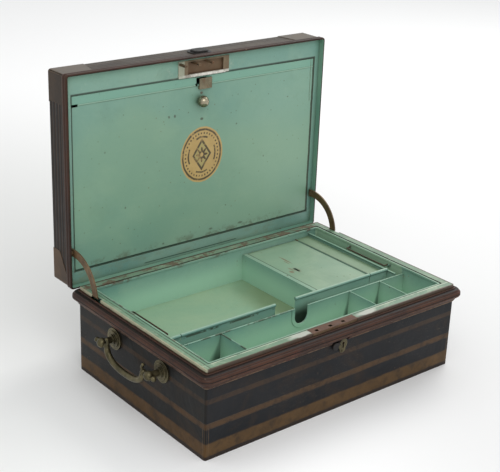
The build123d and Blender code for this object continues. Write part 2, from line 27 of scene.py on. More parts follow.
class G:
    """one procedural material, built in object space (metres, the row frame)"""

    def __init__(self, name):
        self.m = bpy.data.materials.new(name)
        self.m.use_nodes = True
        self.t = self.m.node_tree
        self.t.nodes.clear()
        self.out = self.new("ShaderNodeOutputMaterial")
        self.b = self.new("ShaderNodeBsdfPrincipled")
        self.t.links.new(self.b.outputs[0], self.out.inputs[0])
        tc = self.new("ShaderNodeTexCoord")
        self.P = tc.outputs["Object"]
        s = self.new("ShaderNodeSeparateXYZ")
        self.t.links.new(self.P, s.inputs[0])
        self.x, self.y, self.z = s.outputs
        g = self.new("ShaderNodeNewGeometry")
        self.N = g.outputs["Normal"]
        s2 = self.new("ShaderNodeSeparateXYZ")
        vt = self.new("ShaderNodeVectorTransform", vector_type="NORMAL", convert_from="WORLD", convert_to="OBJECT")
        self.t.links.new(g.outputs["True Normal"], vt.inputs[0])
        self.t.links.new(vt.outputs[0], s2.inputs[0])
        self.nx, self.ny, self.nz = s2.outputs

    def new(self, kind, **kw):
        n = self.t.nodes.new(kind)
        for k, v in kw.items():
            setattr(n, k, v)
        return n

    def put(self, sock, v):
        if v is None:
            return
        if isinstance(v, bpy.types.NodeSocket):
            self.t.links.new(v, sock)
        else:
            sock.default_value = v

    def math(self, op, a, b=None, c=None, clamp=False):
        n = self.new("ShaderNodeMath", operation=op, use_clamp=clamp)
        self.put(n.inputs[0], a)
        self.put(n.inputs[1], b)
        self.put(n.inputs[2], c)
        return n.outputs[0]

    def add(self, a, b): return self.math("ADD", a, b)
    def sub(self, a, b): return self.math("SUBTRACT", a, b)
    def mul(self, a, b): return self.math("MULTIPLY", a, b)
    def mx(self, a, b): return self.math("MAXIMUM", a, b)
    def mn(self, a, b): return self.math("MINIMUM", a, b)
    def ab(self, a): return self.math("ABSOLUTE", a)
    def inv(self, a): return self.math("SUBTRACT", 1.0, a)

    def step(self, a, lo, hi, to0=0.0, to1=1.0):
        """smooth step of a from lo to hi"""
        n = self.new("ShaderNodeMapRange", interpolation_type="SMOOTHSTEP")
        self.put(n.inputs[0], a)
        self.put(n.inputs[1], lo)
        self.put(n.inputs[2], hi)
        self.put(n.inputs[3], to0)
        self.put(n.inputs[4], to1)
        return n.outputs[0]

    def band(self, a, lo, hi, soft):
        return self.mul(self.step(a, lo - soft, lo + soft), self.inv(self.step(a, hi - soft, hi + soft)))

    def vec(self, x=None, y=None, z=None):
        n = self.new("ShaderNodeCombineXYZ")
        for i, v in enumerate((x, y, z)):
            self.put(n.inputs[i], 0.0 if v is None else v)
        return n.outputs[0]

    def shift(self, v=(0, 0, 0), s=(1, 1, 1), r=(0, 0, 0)):
        n = self.new("ShaderNodeMapping")
        self.t.links.new(self.P, n.inputs[0])
        n.inputs[1].default_value = v
        n.inputs[2].default_value = r
        n.inputs[3].default_value = s
        return n.outputs[0]

    def noise(self, scale, detail=4.0, rough=0.55, dist=0.0, vec=None):
        n = self.new("ShaderNodeTexNoise")
        self.put(n.inputs["Vector"], self.P if vec is None else vec)
        n.inputs["Scale"].default_value = scale
        n.inputs["Detail"].default_value = detail
        n.inputs["Roughness"].default_value = rough
        n.inputs["Distortion"].default_value = dist
        return n.outputs[0]

    def vor(self, scale, vec=None, feature="F1", rand=1.0):
        n = self.new("ShaderNodeTexVoronoi", feature=feature)
        self.put(n.inputs["Vector"], self.P if vec is None else vec)
        n.inputs["Scale"].default_value = scale
        n.inputs["Randomness"].default_value = rand
        return n.outputs[0]

    def mix(self, f, a, b, mode="MIX"):
        n = self.new("ShaderNodeMix", data_type="RGBA", blend_type=mode)
        self.put(n.inputs[0], f)
        self.put(n.inputs[6], a)
        self.put(n.inputs[7], b)
        return n.outputs[2]

    def mixf(self, f, a, b):
        n = self.new("ShaderNodeMix", data_type="FLOAT")
        self.put(n.inputs[0], f)
        self.put(n.inputs[2], a)
        self.put(n.inputs[3], b)
        return n.outputs[0]

    def edge(self, radius, lo=0.02, hi=0.35):
        """1 on sharp edges, within radius"""
        bv = self.new("ShaderNodeBevel", samples=6)
        bv.inputs[0].default_value = radius
        d = self.new("ShaderNodeVectorMath", operation="DOT_PRODUCT")
        g = self.new("ShaderNodeNewGeometry")
        self.t.links.new(bv.outputs[0], d.inputs[0])
        self.t.links.new(g.outputs["True Normal"], d.inputs[1])
        return self.step(self.sub(1.0, self.ab(d.outputs["Value"])), lo, hi)

    def ao(self, dist, lo=0.35, hi=0.95):
        """1 in tight corners"""
        n = self.new("ShaderNodeAmbientOcclusion", samples=6)
        n.inputs["Distance"].default_value = dist
        return self.inv(self.step(n.outputs["AO"], lo, hi))

    def bump(self, h, strength=0.5, dist=0.001, after=None, round_=0.0):
        n = self.new("ShaderNodeBump")
        n.inputs["Strength"].default_value = strength
        n.inputs["Distance"].default_value = dist
        self.put(n.inputs["Height"], h)
        if after is not None:
            self.t.links.new(after, n.inputs["Normal"])
        elif round_ > 0:
            bv = self.new("ShaderNodeBevel", samples=4)
            bv.inputs[0].default_value = round_
            self.t.links.new(bv.outputs[0], n.inputs["Normal"])
        return n.outputs[0]

    def spot(self, cx, cy, cz, rx, ry, rz, wob=0.35, ns=160.0, soft=0.35):
        """a ragged spot about a point, in metres"""
        dx = self.math("DIVIDE", self.sub(self.x, cx), rx)
        dy = self.math("DIVIDE", self.sub(self.y, cy), ry)
        dz = self.math("DIVIDE", self.sub(self.z, cz), rz)
        r = self.math("SQRT", self.add(self.add(self.mul(dx, dx), self.mul(dy, dy)), self.mul(dz, dz)))
        r = self.add(r, self.mul(self.sub(self.noise(ns, 5.0, 0.65), 0.5), wob * 4.0))
        return self.inv(self.step(r, 1.0 - soft, 1.0 + soft))

    def done(self, color, rough, normal=None, metal=0.0, spec=0.5, coat=0.0, coat_rough=0.2):
        b = self.b.inputs
        self.put(b["Base Color"], color)
        self.put(b["Roughness"], rough)
        self.put(b["Metallic"], metal)
        self.put(b["Specular IOR Level"], spec)
        self.put(b["Coat Weight"], coat)
        self.put(b["Coat Roughness"], coat_rough)
        if normal is not None:
            self.put(b["Normal"], normal)
        return self.m


# ------------------------------------------------------------------ green enamel of the inside
def green(name, extra=None, wear=1.0, chips=1.0, cream_edge=0.30, corner_dirt_and_shade=1.0):
    g = G(name)
    big = g.noise(5.5, 3.0, 0.5, 0.4)
    mid = g.noise(24.0, 5.0, 0.6, 0.3)
    fine = g.noise(190.0, 4.0, 0.6)
    col = g.mix(g.step(big, 0.34, 0.68), lin(108, 153, 135), lin(130, 168, 144))
    col = g.mix(g.mul(g.step(mid, 0.45, 0.75), 0.4), col, lin(142, 176, 148))
    # faces that point up are painted lighter and yellower: painted top light
    top_light_mask = g.step(g.nz, 0.5, 0.95)
    col = g.mix(g.mul(top_light_mask, g.add(0.50, g.mul(big, 0.35))), col, lin(143, 173, 140))
    # streaky rubbing
    st = g.noise(40.0, 5.0, 0.7, 1.0, g.shift(s=(0.25, 1.0, 3.0)))
    col = g.mix(g.mul(g.step(st, 0.58, 0.78), 0.20), col, lin(178, 190, 158))
    st2 = g.noise(55.0, 5.0, 0.7, 0.8, g.shift(v=(3, 1, 7), s=(1.0, 0.3, 1.0)))
    col = g.mix(g.mul(g.step(st2, 0.60, 0.80), 0.22), col, lin(92, 132, 112))
    col = g.mix(g.mul(g.step(fine, 0.55, 0.8), 0.15), col, lin(160, 186, 158))
    sc_ = g.noise(34.0, 3.0, 0.6, 2.4, g.shift(v=(1, 3, 2), s=(0.6, 1.6, 0.5), r=(0.4, 0.3, 0.9)))
    sg_ = g.step(g.noise(7.0, 2.0, 0.5, 0.0, g.shift(v=(9, 2, 2))), 0.48, 0.66)
    col = g.mix(g.mul(g.mul(g.band(sc_, 0.4985, 0.5015, 0.0012), sg_), 0.45), col, lin(172, 190, 164))
    sc2_ = g.noise(27.0, 3.0, 0.6, 2.0, g.shift(v=(6, 1, 8), s=(1.4, 0.5, 0.7), r=(0.8, 0.1, 0.3)))
    col = g.mix(g.mul(g.mul(g.band(sc2_, 0.4988, 0.5012, 0.0012), g.inv(sg_)), 0.40), col, lin(78, 100, 80))
    blot = g.noise(15.0, 6.0, 0.68, 0.5, g.shift(v=(8, 8, 3)))
    col = g.mix(g.mul(g.step(blot, 0.56, 0.70), 0.22), col, lin(98, 130, 104))
    # dirt and painted shade in corners: darker where the AO finds a tight corner
    d = g.ao(0.012, 0.25, 0.92)
    dn = g.mul(g.add(0.45, g.mul(mid, 0.7)), corner_dirt_and_shade)
    col = g.mix(g.mul(d, dn), col, lin(70, 88, 62))
    # worn edges: cream first, then brown where it is through
    ed = g.edge(0.0011, 0.01, 0.22)
    en = g.noise(75.0, 6.0, 0.7, 0.2)
    w1 = g.mul(ed, g.step(en, 0.40, 0.60))
    col = g.mix(g.mul(w1, cream_edge), col, lin(176, 188, 160))
    en2 = g.noise(48.0, 7.0, 0.75, 0.3, g.shift(v=(9, 4, 2)))
    w2 = g.mul(ed, g.step(en2, 0.56, 0.66))
    col = g.mix(g.mul(w2, 0.85 * wear), col, lin(92, 66, 46))
    # small chips and rust pin holes
    cn = g.noise(130.0, 7.0, 0.62, 0.2, g.shift(v=(1, 5, 3)))
    gate = g.step(g.noise(13.0, 3.0, 0.5, 0.0, g.shift(v=(4, 4, 4))), 0.45, 0.7)
    ch = g.mul(g.step(cn, 0.69, 0.715), gate)
    v = g.vor(95.0, g.shift(v=(2, 8, 1)))
    vs = g.mul(g.inv(g.step(g.add(v, g.mul(g.sub(fine, 0.5), 0.05)), 0.080, 0.110)), g.step(g.noise(21.0, 3.0, 0.6, 0.0, g.shift(v=(7, 1, 1))), 0.53, 0.60))
    v2 = g.vor(210.0, g.shift(v=(5, 2, 9)))
    vs2 = g.mul(g.inv(g.step(v2, 0.07, 0.10)), g.step(g.noise(18.0, 2.0, 0.5, 0.0, g.shift(v=(3, 6, 2))), 0.55, 0.66))
    chip = g.mx(g.mx(ch, vs), vs2)
    chip = g.mul(chip, chips)
    # pale ring, then dark centre
    halo = g.mul(g.mul(g.step(cn, 0.655, 0.69), gate), 0.55)
    col = g.mix(halo, col, lin(178, 186, 158))
    col = g.mix(g.mul(chip, 0.88), col, g.mix(fine, lin(58, 44, 34), lin(112, 74, 46)))
    col = g.mix(1.0, col, (0.95, 0.93, 1.03, 1.0), "MULTIPLY")
    h = g.add(g.mul(big, 1.2), g.mul(g.noise(9.0, 2.0, 0.5, 0.0, g.shift(v=(6, 6, 6))), 0.8))
    nrm = g.bump(h, 0.35, 0.004, round_=0.0006)
    h2 = g.sub(g.add(g.mul(fine, 0.25), g.mul(mid, 0.25)), g.add(chip, g.mul(w2, 0.8)))
    nrm = g.bump(h2, 0.30, 0.0004, after=nrm)
    rough = g.add(0.33, g.mul(mid, 0.22))
    rough = g.mx(rough, g.mul(g.mx(chip, w2), 0.75))
    if extra:
        col, rough, nrm = extra(g, col, rough, nrm)
    g.done(col, rough, nrm, spec=0.45, coat=0.10, coat_rough=0.25)
    return g.m


# ------------------------------------------------------------------ japanned outside
def brown_worn(g, s=1.0):
    a = g.noise(60.0, 6.0, 0.65, 0.4, g.shift(v=(2, 3, 1)))
    b = g.noise(12.0, 4.0, 0.6, 0.2, g.shift(v=(5, 3, 8)))
    c = g.mix(a, lin(70, 50, 38), lin(118, 84, 56))
    return g.mix(g.mul(b, 0.7), c, lin(92, 72, 48))


def black_wall():
    g = G("japanned_black_lined")
    big = g.noise(9.0, 4.0, 0.6, 0.5)
    mid = g.noise(45.0, 6.0, 0.65, 0.4)
    fine = g.noise(260.0, 4.0, 0.6)
    col = g.mix(g.step(big, 0.3, 0.7), lin(18, 21, 25), lin(28, 29, 32))
    col = g.mix(g.mul(g.step(mid, 0.5, 0.8), 0.40), col, lin(45, 40, 37))
    # brown rubbed-through clouds
    cl = g.noise(16.0, 6.0, 0.7, 0.6, g.shift(v=(4, 7, 2)))
    col = g.mix(g.mul(g.step(cl, 0.46, 0.70), 0.55), col, lin(52, 39, 28))
    # lining: height above the foot, wandering a little
    wob = g.mul(g.sub(g.noise(22.0, 5.0, 0.65), 0.5), 0.0016)
    zz = g.add(g.z, wob)
    wob2 = g.mul(g.sub(g.noise(42.0, 6.0, 0.7, 0.4), 0.5), 0.0040)
    zc = g.add(g.z, wob2)
    bw = brown_worn(g)
    worn = g.step(g.noise(70.0, 6.0, 0.7, 0.3, g.shift(v=(8, 1, 3))), 0.30, 0.58)
    gold = g.mix(g.noise(38.0, 5.0, 0.65, 0.3, g.shift(v=(1, 1, 9))), lin(66, 49, 29), lin(104, 78, 46))
    b1 = g.mul(g.band(zc, 0.0050, 0.0215, 0.0016), g.add(0.45, g.mul(worn, 0.45)))
    b2 = g.mul(g.band(zz, 0.0410, 0.0470, 0.0009), g.add(0.35, g.mul(worn, 0.50)))
    b3 = g.mul(g.band(zz, 0.0730, 0.0785, 0.0010), g.add(0.22, g.mul(worn, 0.36)))
    col = g.mix(b1, col, gold)
    col = g.mix(b2, col, g.mix(0.50, gold, lin(74, 54, 40)))
    col = g.mix(b3, col, g.mix(0.75, gold, lin(66, 50, 39)))
    # fine paler edge lines of the bands
    for zl, k in ((0.0476, 0.35), (0.0404, 0.25), (0.0790, 0.18)):
        col = g.mix(g.mul(g.band(zz, zl - 0.0004, zl + 0.0004, 0.0004), g.mul(worn, k)), col, lin(122, 96, 66))
    # thin upright lines beside the corners, below the middle band
    ax, ay = g.ab(g.x), g.ab(g.y)
    onx = g.step(g.ab(g.nx), 0.4, 0.6)
    # the end walls (faces toward ±x) are painted darker and browner: painted shade on the end walls
    col = g.mix(g.mul(onx, 0.8), col, (0.84, 0.76, 0.58, 1.0), "MULTIPLY")
    cd = g.mixf(onx, g.sub(0.2032, ax), g.sub(0.1352, ay))
    up_ = g.inv(g.step(g.z, 0.041, 0.043))
    for dd, k in ((0.0048, 0.55), (0.0018, 0.30)):
        col = g.mix(g.mul(g.mul(g.band(cd, dd - 0.0004, dd + 0.0004, 0.0003), up_), g.mul(worn, k)), col, lin(108, 84, 58))
    # corner and foot wear
    ed = g.edge(0.0022, 0.01, 0.20)
    en = g.noise(60.0, 6.0, 0.7, 0.2)
    col = g.mix(g.mul(g.mul(ed, g.step(en, 0.35, 0.62)), 0.70), col, lin(92, 68, 48))
    foot = g.inv(g.step(g.add(g.z, wob), 0.0025, 0.0050))
    col = g.mix(g.mul(foot, 0.75), col, lin(46, 36, 30))
    # scratches and dust specks
    sc = g.noise(30.0, 3.0, 0.6, 2.0, g.shift(v=(3, 3, 3), s=(0.5, 0.5, 5.0), r=(0.3, 0.2, 0.4)))
    scr = g.band(sc, 0.500, 0.503, 0.0012)
    sg = g.step(g.noise(8.0, 2.0, 0.5, 0.0, g.shift(v=(9, 9, 2))), 0.5, 0.7)
    col = g.mix(g.mul(g.mul(scr, sg), 0.45), col, lin(116, 104, 88))
    vs = g.mul(g.inv(g.step(g.vor(120.0), 0.05, 0.09)), g.step(g.noise(20.0, 2.0, 0.5, 0.0, g.shift(v=(1, 2, 9))), 0.55, 0.65))
    col = g.mix(g.mul(vs, 0.6), col, lin(112, 86, 62))
    # bumps: broad waviness, then fine grain and the lower band
    h = g.add(g.mul(big, 1.0), g.mul(g.noise(7.0, 2.0, 0.5, 0.0, g.shift(v=(6, 6, 6))), 0.9))
    nrm = g.bump(h, 0.40, 0.005, round_=0.0012)
    h2 = g.add(g.mul(fine, 0.35), g.add(g.mul(mid, 0.6), g.mul(b1, 0.2)))
    nrm = g.bump(h2, 0.25, 0.0005, after=nrm)
    rough = g.add(0.34, g.mul(mid, 0.26))
    return g.done(col, rough, nrm, spec=0.16, coat=0.02, coat_rough=0.3)


def plain_black(name, a=(25, 26, 29), b=(42, 39, 37), wearc=(88, 70, 53), wk=0.5, rough0=0.38):
    g = G(name)
    big = g.noise(14.0, 4.0, 0.6, 0.5)
    mid = g.noise(70.0, 6.0, 0.65, 0.4)
    col = g.mix(g.step(big, 0.3, 0.7), lin(*a), lin(*b))
    col = g.mix(g.mul(g.step(mid, 0.5, 0.8), 0.4), col, lin(*wearc))
    ed = g.edge(0.0010, 0.01, 0.22)
    col = g.mix(g.mul(g.mul(ed, g.step(g.noise(90.0, 5.0, 0.7), 0.35, 0.6)), wk), col, lin(*wearc))
    nrm = g.bump(g.add(g.mul(big, 0.8), g.mul(mid, 0.3)), 0.3, 0.0012, round_=0.0006)
    return g.done(col, g.add(rough0, g.mul(mid, 0.25)), nrm, spec=0.20)


def moulding(name, lid=False):
    g = G(name)
    dark = 0.35 if lid else 0.0
    big = g.noise(11.0, 4.0, 0.6, 0.5)
    mid = g.noise(60.0, 6.0, 0.68, 0.4)
    fine = g.noise(240.0, 4.0, 0.6)
    col = g.mix(g.step(big, 0.3, 0.7), lin(45, 26, 19), lin(70, 42, 28))
    col = g.mix(g.mul(g.step(mid, 0.48, 0.78), 0.5), col, lin(90, 57, 37))
    red = g.noise(34.0, 5.0, 0.65, 0.3, g.shift(v=(2, 9, 4)))
    col = g.mix(g.mul(g.step(red, 0.55, 0.75), 0.42), col, lin(92, 38, 30))
    dk = g.noise(26.0, 6.0, 0.7, 0.5, g.shift(v=(7, 2, 2)))
    col = g.mix(g.mul(g.step(dk, 0.52, 0.72), 0.60), col, lin(27, 20, 19))
    # painted shade in the moulding's hollows: darker where the AO finds a tight corner
    cav = g.ao(0.004, 0.35, 0.9)
    col = g.mix(g.mul(cav, 0.70), col, lin(14, 10, 9))
    ed = g.edge(0.0012, 0.01, 0.22)
    en = g.noise(85.0, 6.0, 0.7, 0.2)
    col = g.mix(g.mul(g.mul(ed, g.step(en, 0.38, 0.62)), 0.45), col, lin(112, 84, 63))
    col = g.mix(dark, col, lin(26, 19, 14))
    sp = g.noise(140.0, 6.0, 0.65, 0.1, g.shift(v=(4, 4, 9)))
    spk = g.mul(g.step(sp, 0.66, 0.70), g.step(g.noise(12.0, 2.0, 0.5, 0.0, g.shift(v=(8, 2, 5))), 0.5, 0.66))
    col = g.mix(g.mul(spk, 0.6), col, lin(150, 134, 110))
    if not lid:
        # painted shadow lines along the creases of the moulding's profile
        for zc_, w_, k_ in ((0.1055, 0.0006, 0.85), (0.1094, 0.0004, 0.6), (0.1114, 0.0007, 0.85), (0.0990, 0.0004, 0.55), (0.0957, 0.0004, 0.7)):
            col = g.mix(g.mul(g.band(g.z, zc_ - w_, zc_ + w_, 0.0003), k_), col, lin(13, 9, 8))
        pal = g.band(g.z, 0.0936, 0.0950, 0.0004)
        col = g.mix(g.mul(pal, g.mul(g.step(mid, 0.40, 0.6), 0.6)), col, lin(126, 104, 80))
        # painted highlight along the upper slope of the moulding
        moulding_highlight_band = g.band(g.z, 0.1036, 0.1046, 0.0003)
        col = g.mix(g.mul(moulding_highlight_band, g.mul(g.step(mid, 0.45, 0.65), 0.35)), col, lin(120, 84, 64))
    nrm = g.bump(g.add(g.mul(big, 0.8), g.mul(mid, 0.5)), 0.4, 0.0016, round_=0.0005)
    nrm = g.bump(fine, 0.2, 0.0003, after=nrm)
    return g.done(col, g.add(0.34, g.mul(mid, 0.3)), nrm, spec=0.24, coat=0.03, coat_rough=0.3)


def lid_outside():
    g = G("lid_japan")
    big = g.noise(9.0, 4.0, 0.6, 0.5)
    mid = g.noise(50.0, 6.0, 0.65, 0.4)
    col = g.mix(g.step(big, 0.3, 0.7), lin(21, 20, 20), lin(34, 30, 27))
    col = g.mix(g.mul(g.step(mid, 0.5, 0.8), 0.4), col, lin(52, 43, 35))
    # pressed and lined ribs round the side walls, by depth behind the opening edge
    q = g.sub(g.y, YE)
    side = g.inv(g.step(g.ab(g.ny), 0.4, 0.6))
    ribs = None
    for c_, w_ in ((0.0165, 0.0011), (0.0225, 0.0013), (0.0300, 0.0014), (0.0370, 0.0011)):
        b = g.band(q, c_ - w_, c_ + w_, 0.0007)
        ribs = b if ribs is None else g.mx(ribs, b)
    ribs = g.mul(ribs, side)
    worn = g.step(g.noise(60.0, 6.0, 0.7, 0.3, g.shift(v=(8, 1, 3))), 0.30, 0.58)
    # the front wall, on top when the lid is open, is painted lighter grey-brown in streaks: painted sheen
    topw = g.step(g.nz, 0.6, 0.9)
    lay = g.noise(30.0, 5.0, 0.7, 0.5, g.shift(s=(0.3, 3.0, 1.0)))
    col = g.mix(g.mul(topw, g.add(0.55, g.mul(lay, 0.45))), col, g.mix(g.step(lay, 0.35, 0.7), lin(54, 49, 42), lin(90, 82, 71)))
    col = g.mix(g.mul(ribs, g.add(0.25, g.mul(worn, 0.3))), col, lin(70, 51, 37))
    ed = g.edge(0.0022, 0.01, 0.22)
    en = g.noise(60.0, 6.0, 0.7, 0.2)
    col = g.mix(g.mul(g.mul(ed, g.step(en, 0.35, 0.62)), 0.6), col, lin(108, 88, 68))
    # lining of the big top panel: a band round it
    px = g.sub(0.2064, g.ab(g.x))
    pz = g.mn(g.sub(g.z, ZR), g.sub(ZR + 0.2768, g.z))
    pe = g.mn(px, pz)
    pe = g.add(pe, g.mul(g.sub(g.noise(25.0, 5.0, 0.65), 0.5), 0.002))
    onp = g.step(g.ny, 0.6, 0.9)
    gold = g.mix(g.noise(38.0, 5.0, 0.65, 0.3), lin(100, 74, 50), lin(140, 102, 62))
    for lo, hi, k in ((0.030, 0.0345, 0.75), (0.0375, 0.0385, 0.6), (0.012, 0.0130, 0.4)):
        col = g.mix(g.mul(g.mul(onp, g.band(pe, lo, hi, 0.0006)), g.mul(worn, k)), col, gold)
    # the green paint inside
    nrm = g.bump(g.add(g.mul(big, 0.9), g.mul(g.noise(6.0, 2.0, 0.5), 1.0)), 0.40, 0.005, round_=0.0012)
    nrm = g.bump(g.add(g.mul(mid, 0.5), g.mul(ribs, -1.6)), 0.6, 0.0007, after=nrm)
    inside = g.mx(g.mx(g.mul(g.step(g.ny, -0.4, -0.6), g.step(g.y, YE + 0.03, YE + 0.035)),
                       g.mul(g.band(g.ab(g.x), 0.2045, 0.20580, 0.00008), g.step(g.mul(g.nx, g.math("SIGN", g.x)), -0.4, -0.6))),
                  g.mul(g.mx(g.mul(g.step(g.nz, -0.4, -0.6), g.step(g.z, ZR + 0.2, ZR + 0.21)),
                             g.mul(g.step(g.nz, 0.4, 0.6), g.inv(g.step(g.z, ZR + 0.02, ZR + 0.03)))), 1.0))
    gg = g.mix(g.step(big, 0.3, 0.7), lin(104, 146, 128), lin(126, 162, 140))
    gg = g.mix(g.mul(g.edge(0.0010), 0.5), gg, lin(120, 92, 66))
    col = g.mix(inside, col, gg)
    return g.done(col, g.add(0.34, g.mul(mid, 0.28)), nrm, spec=0.20, coat=0.02, coat_rough=0.3)


def corner_plate():
    g = G("corner_plate_brown")
    big = g.noise(18.0, 4.0, 0.6, 0.5)
    mid = g.noise(80.0, 6.0, 0.68, 0.4)
    col = g.mix(g.step(big, 0.3, 0.7), lin(52, 40, 30), lin(84, 64, 46))
    col = g.mix(g.mul(g.step(mid, 0.48, 0.78), 0.5), col, lin(104, 82, 60))
    topw = g.step(g.nz, 0.6, 0.9)
    col = g.mix(g.mul(topw, 0.6), col, g.mix(mid, lin(84, 80, 74), lin(122, 116, 106)))
    hi = g.step(g.z, 0.30, 0.34)
    col = g.mix(g.mul(g.mul(hi, g.inv(topw)), 0.55), col, lin(36, 30, 24))
    ed = g.edge(0.0009, 0.01, 0.22)
    col = g.mix(g.mul(g.mul(ed, g.step(g.noise(90.0, 5.0, 0.7), 0.35, 0.6)), 0.6), col, lin(134, 110, 82))
    nrm = g.bump(g.add(g.mul(big, 0.6), g.mul(mid, 0.5)), 0.45, 0.0010, round_=0.0005)
    return g.done(col, g.add(0.36, g.mul(mid, 0.25)), nrm, spec=0.26, coat=0.02)


def brass(name, dark=0.5):
    g = G(name)
    a = g.noise(70.0, 5.0, 0.65, 0.3)
    b = g.noise(260.0, 4.0, 0.6)
    cav = g.ao(0.004, 0.3, 0.95)
    col = g.mix(g.step(a, 0.35, 0.68), lin(74, 70, 50), lin(132, 122, 90))
    col = g.mix(g.mul(g.step(b, 0.5, 0.8), 0.35), col, lin(84, 92, 66))
    col = g.mix(g.mul(cav, 0.75), col, lin(32, 30, 22))
    ed = g.edge(0.0012, 0.01, 0.3)
    col = g.mix(g.mul(ed, 0.55), col, lin(206, 196, 160))
    col = g.mix(dark, col, lin(60, 54, 40))
    nrm = g.bump(g.add(g.mul(a, 0.7), g.mul(b, 0.5)), 0.5, 0.0005, round_=0.0005)
    return g.done(col, g.add(0.26, g.mul(a, 0.28)), nrm, metal=0.85, spec=0.5)


def steel(name, a, b, metal=0.5, rough=0.42, rust=0.5, extra=None):
    g = G(name)
    n1 = g.noise(60.0, 6.0, 0.7, 0.4)
    n2 = g.noise(240.0, 5.0, 0.65)
    col = g.mix(g.step(n1, 0.32, 0.68), lin(*a), lin(*b))
    r = g.mix(n2, lin(72, 46, 30), lin(128, 84, 48))
    col = g.mix(g.mul(g.step(g.noise(45.0, 7.0, 0.72, 0.4, g.shift(v=(3, 7, 1))), 0.45, 0.65), rust), col, r)
    cav = g.ao(0.003, 0.3, 0.95)
    col = g.mix(g.mul(cav, 0.6), col, lin(28, 24, 20))
    ed = g.edge(0.0007, 0.01, 0.3)
    col = g.mix(g.mul(ed, 0.4), col, lin(170, 158, 140))
    if extra:
        col = extra(g, col)
    nrm = g.bump(g.add(n1, g.mul(n2, 0.6)), 0.5, 0.0004, round_=0.0003)
    return g.done(col, g.add(rough, g.mul(n2, 0.3)), nrm, metal=metal, spec=0.5)


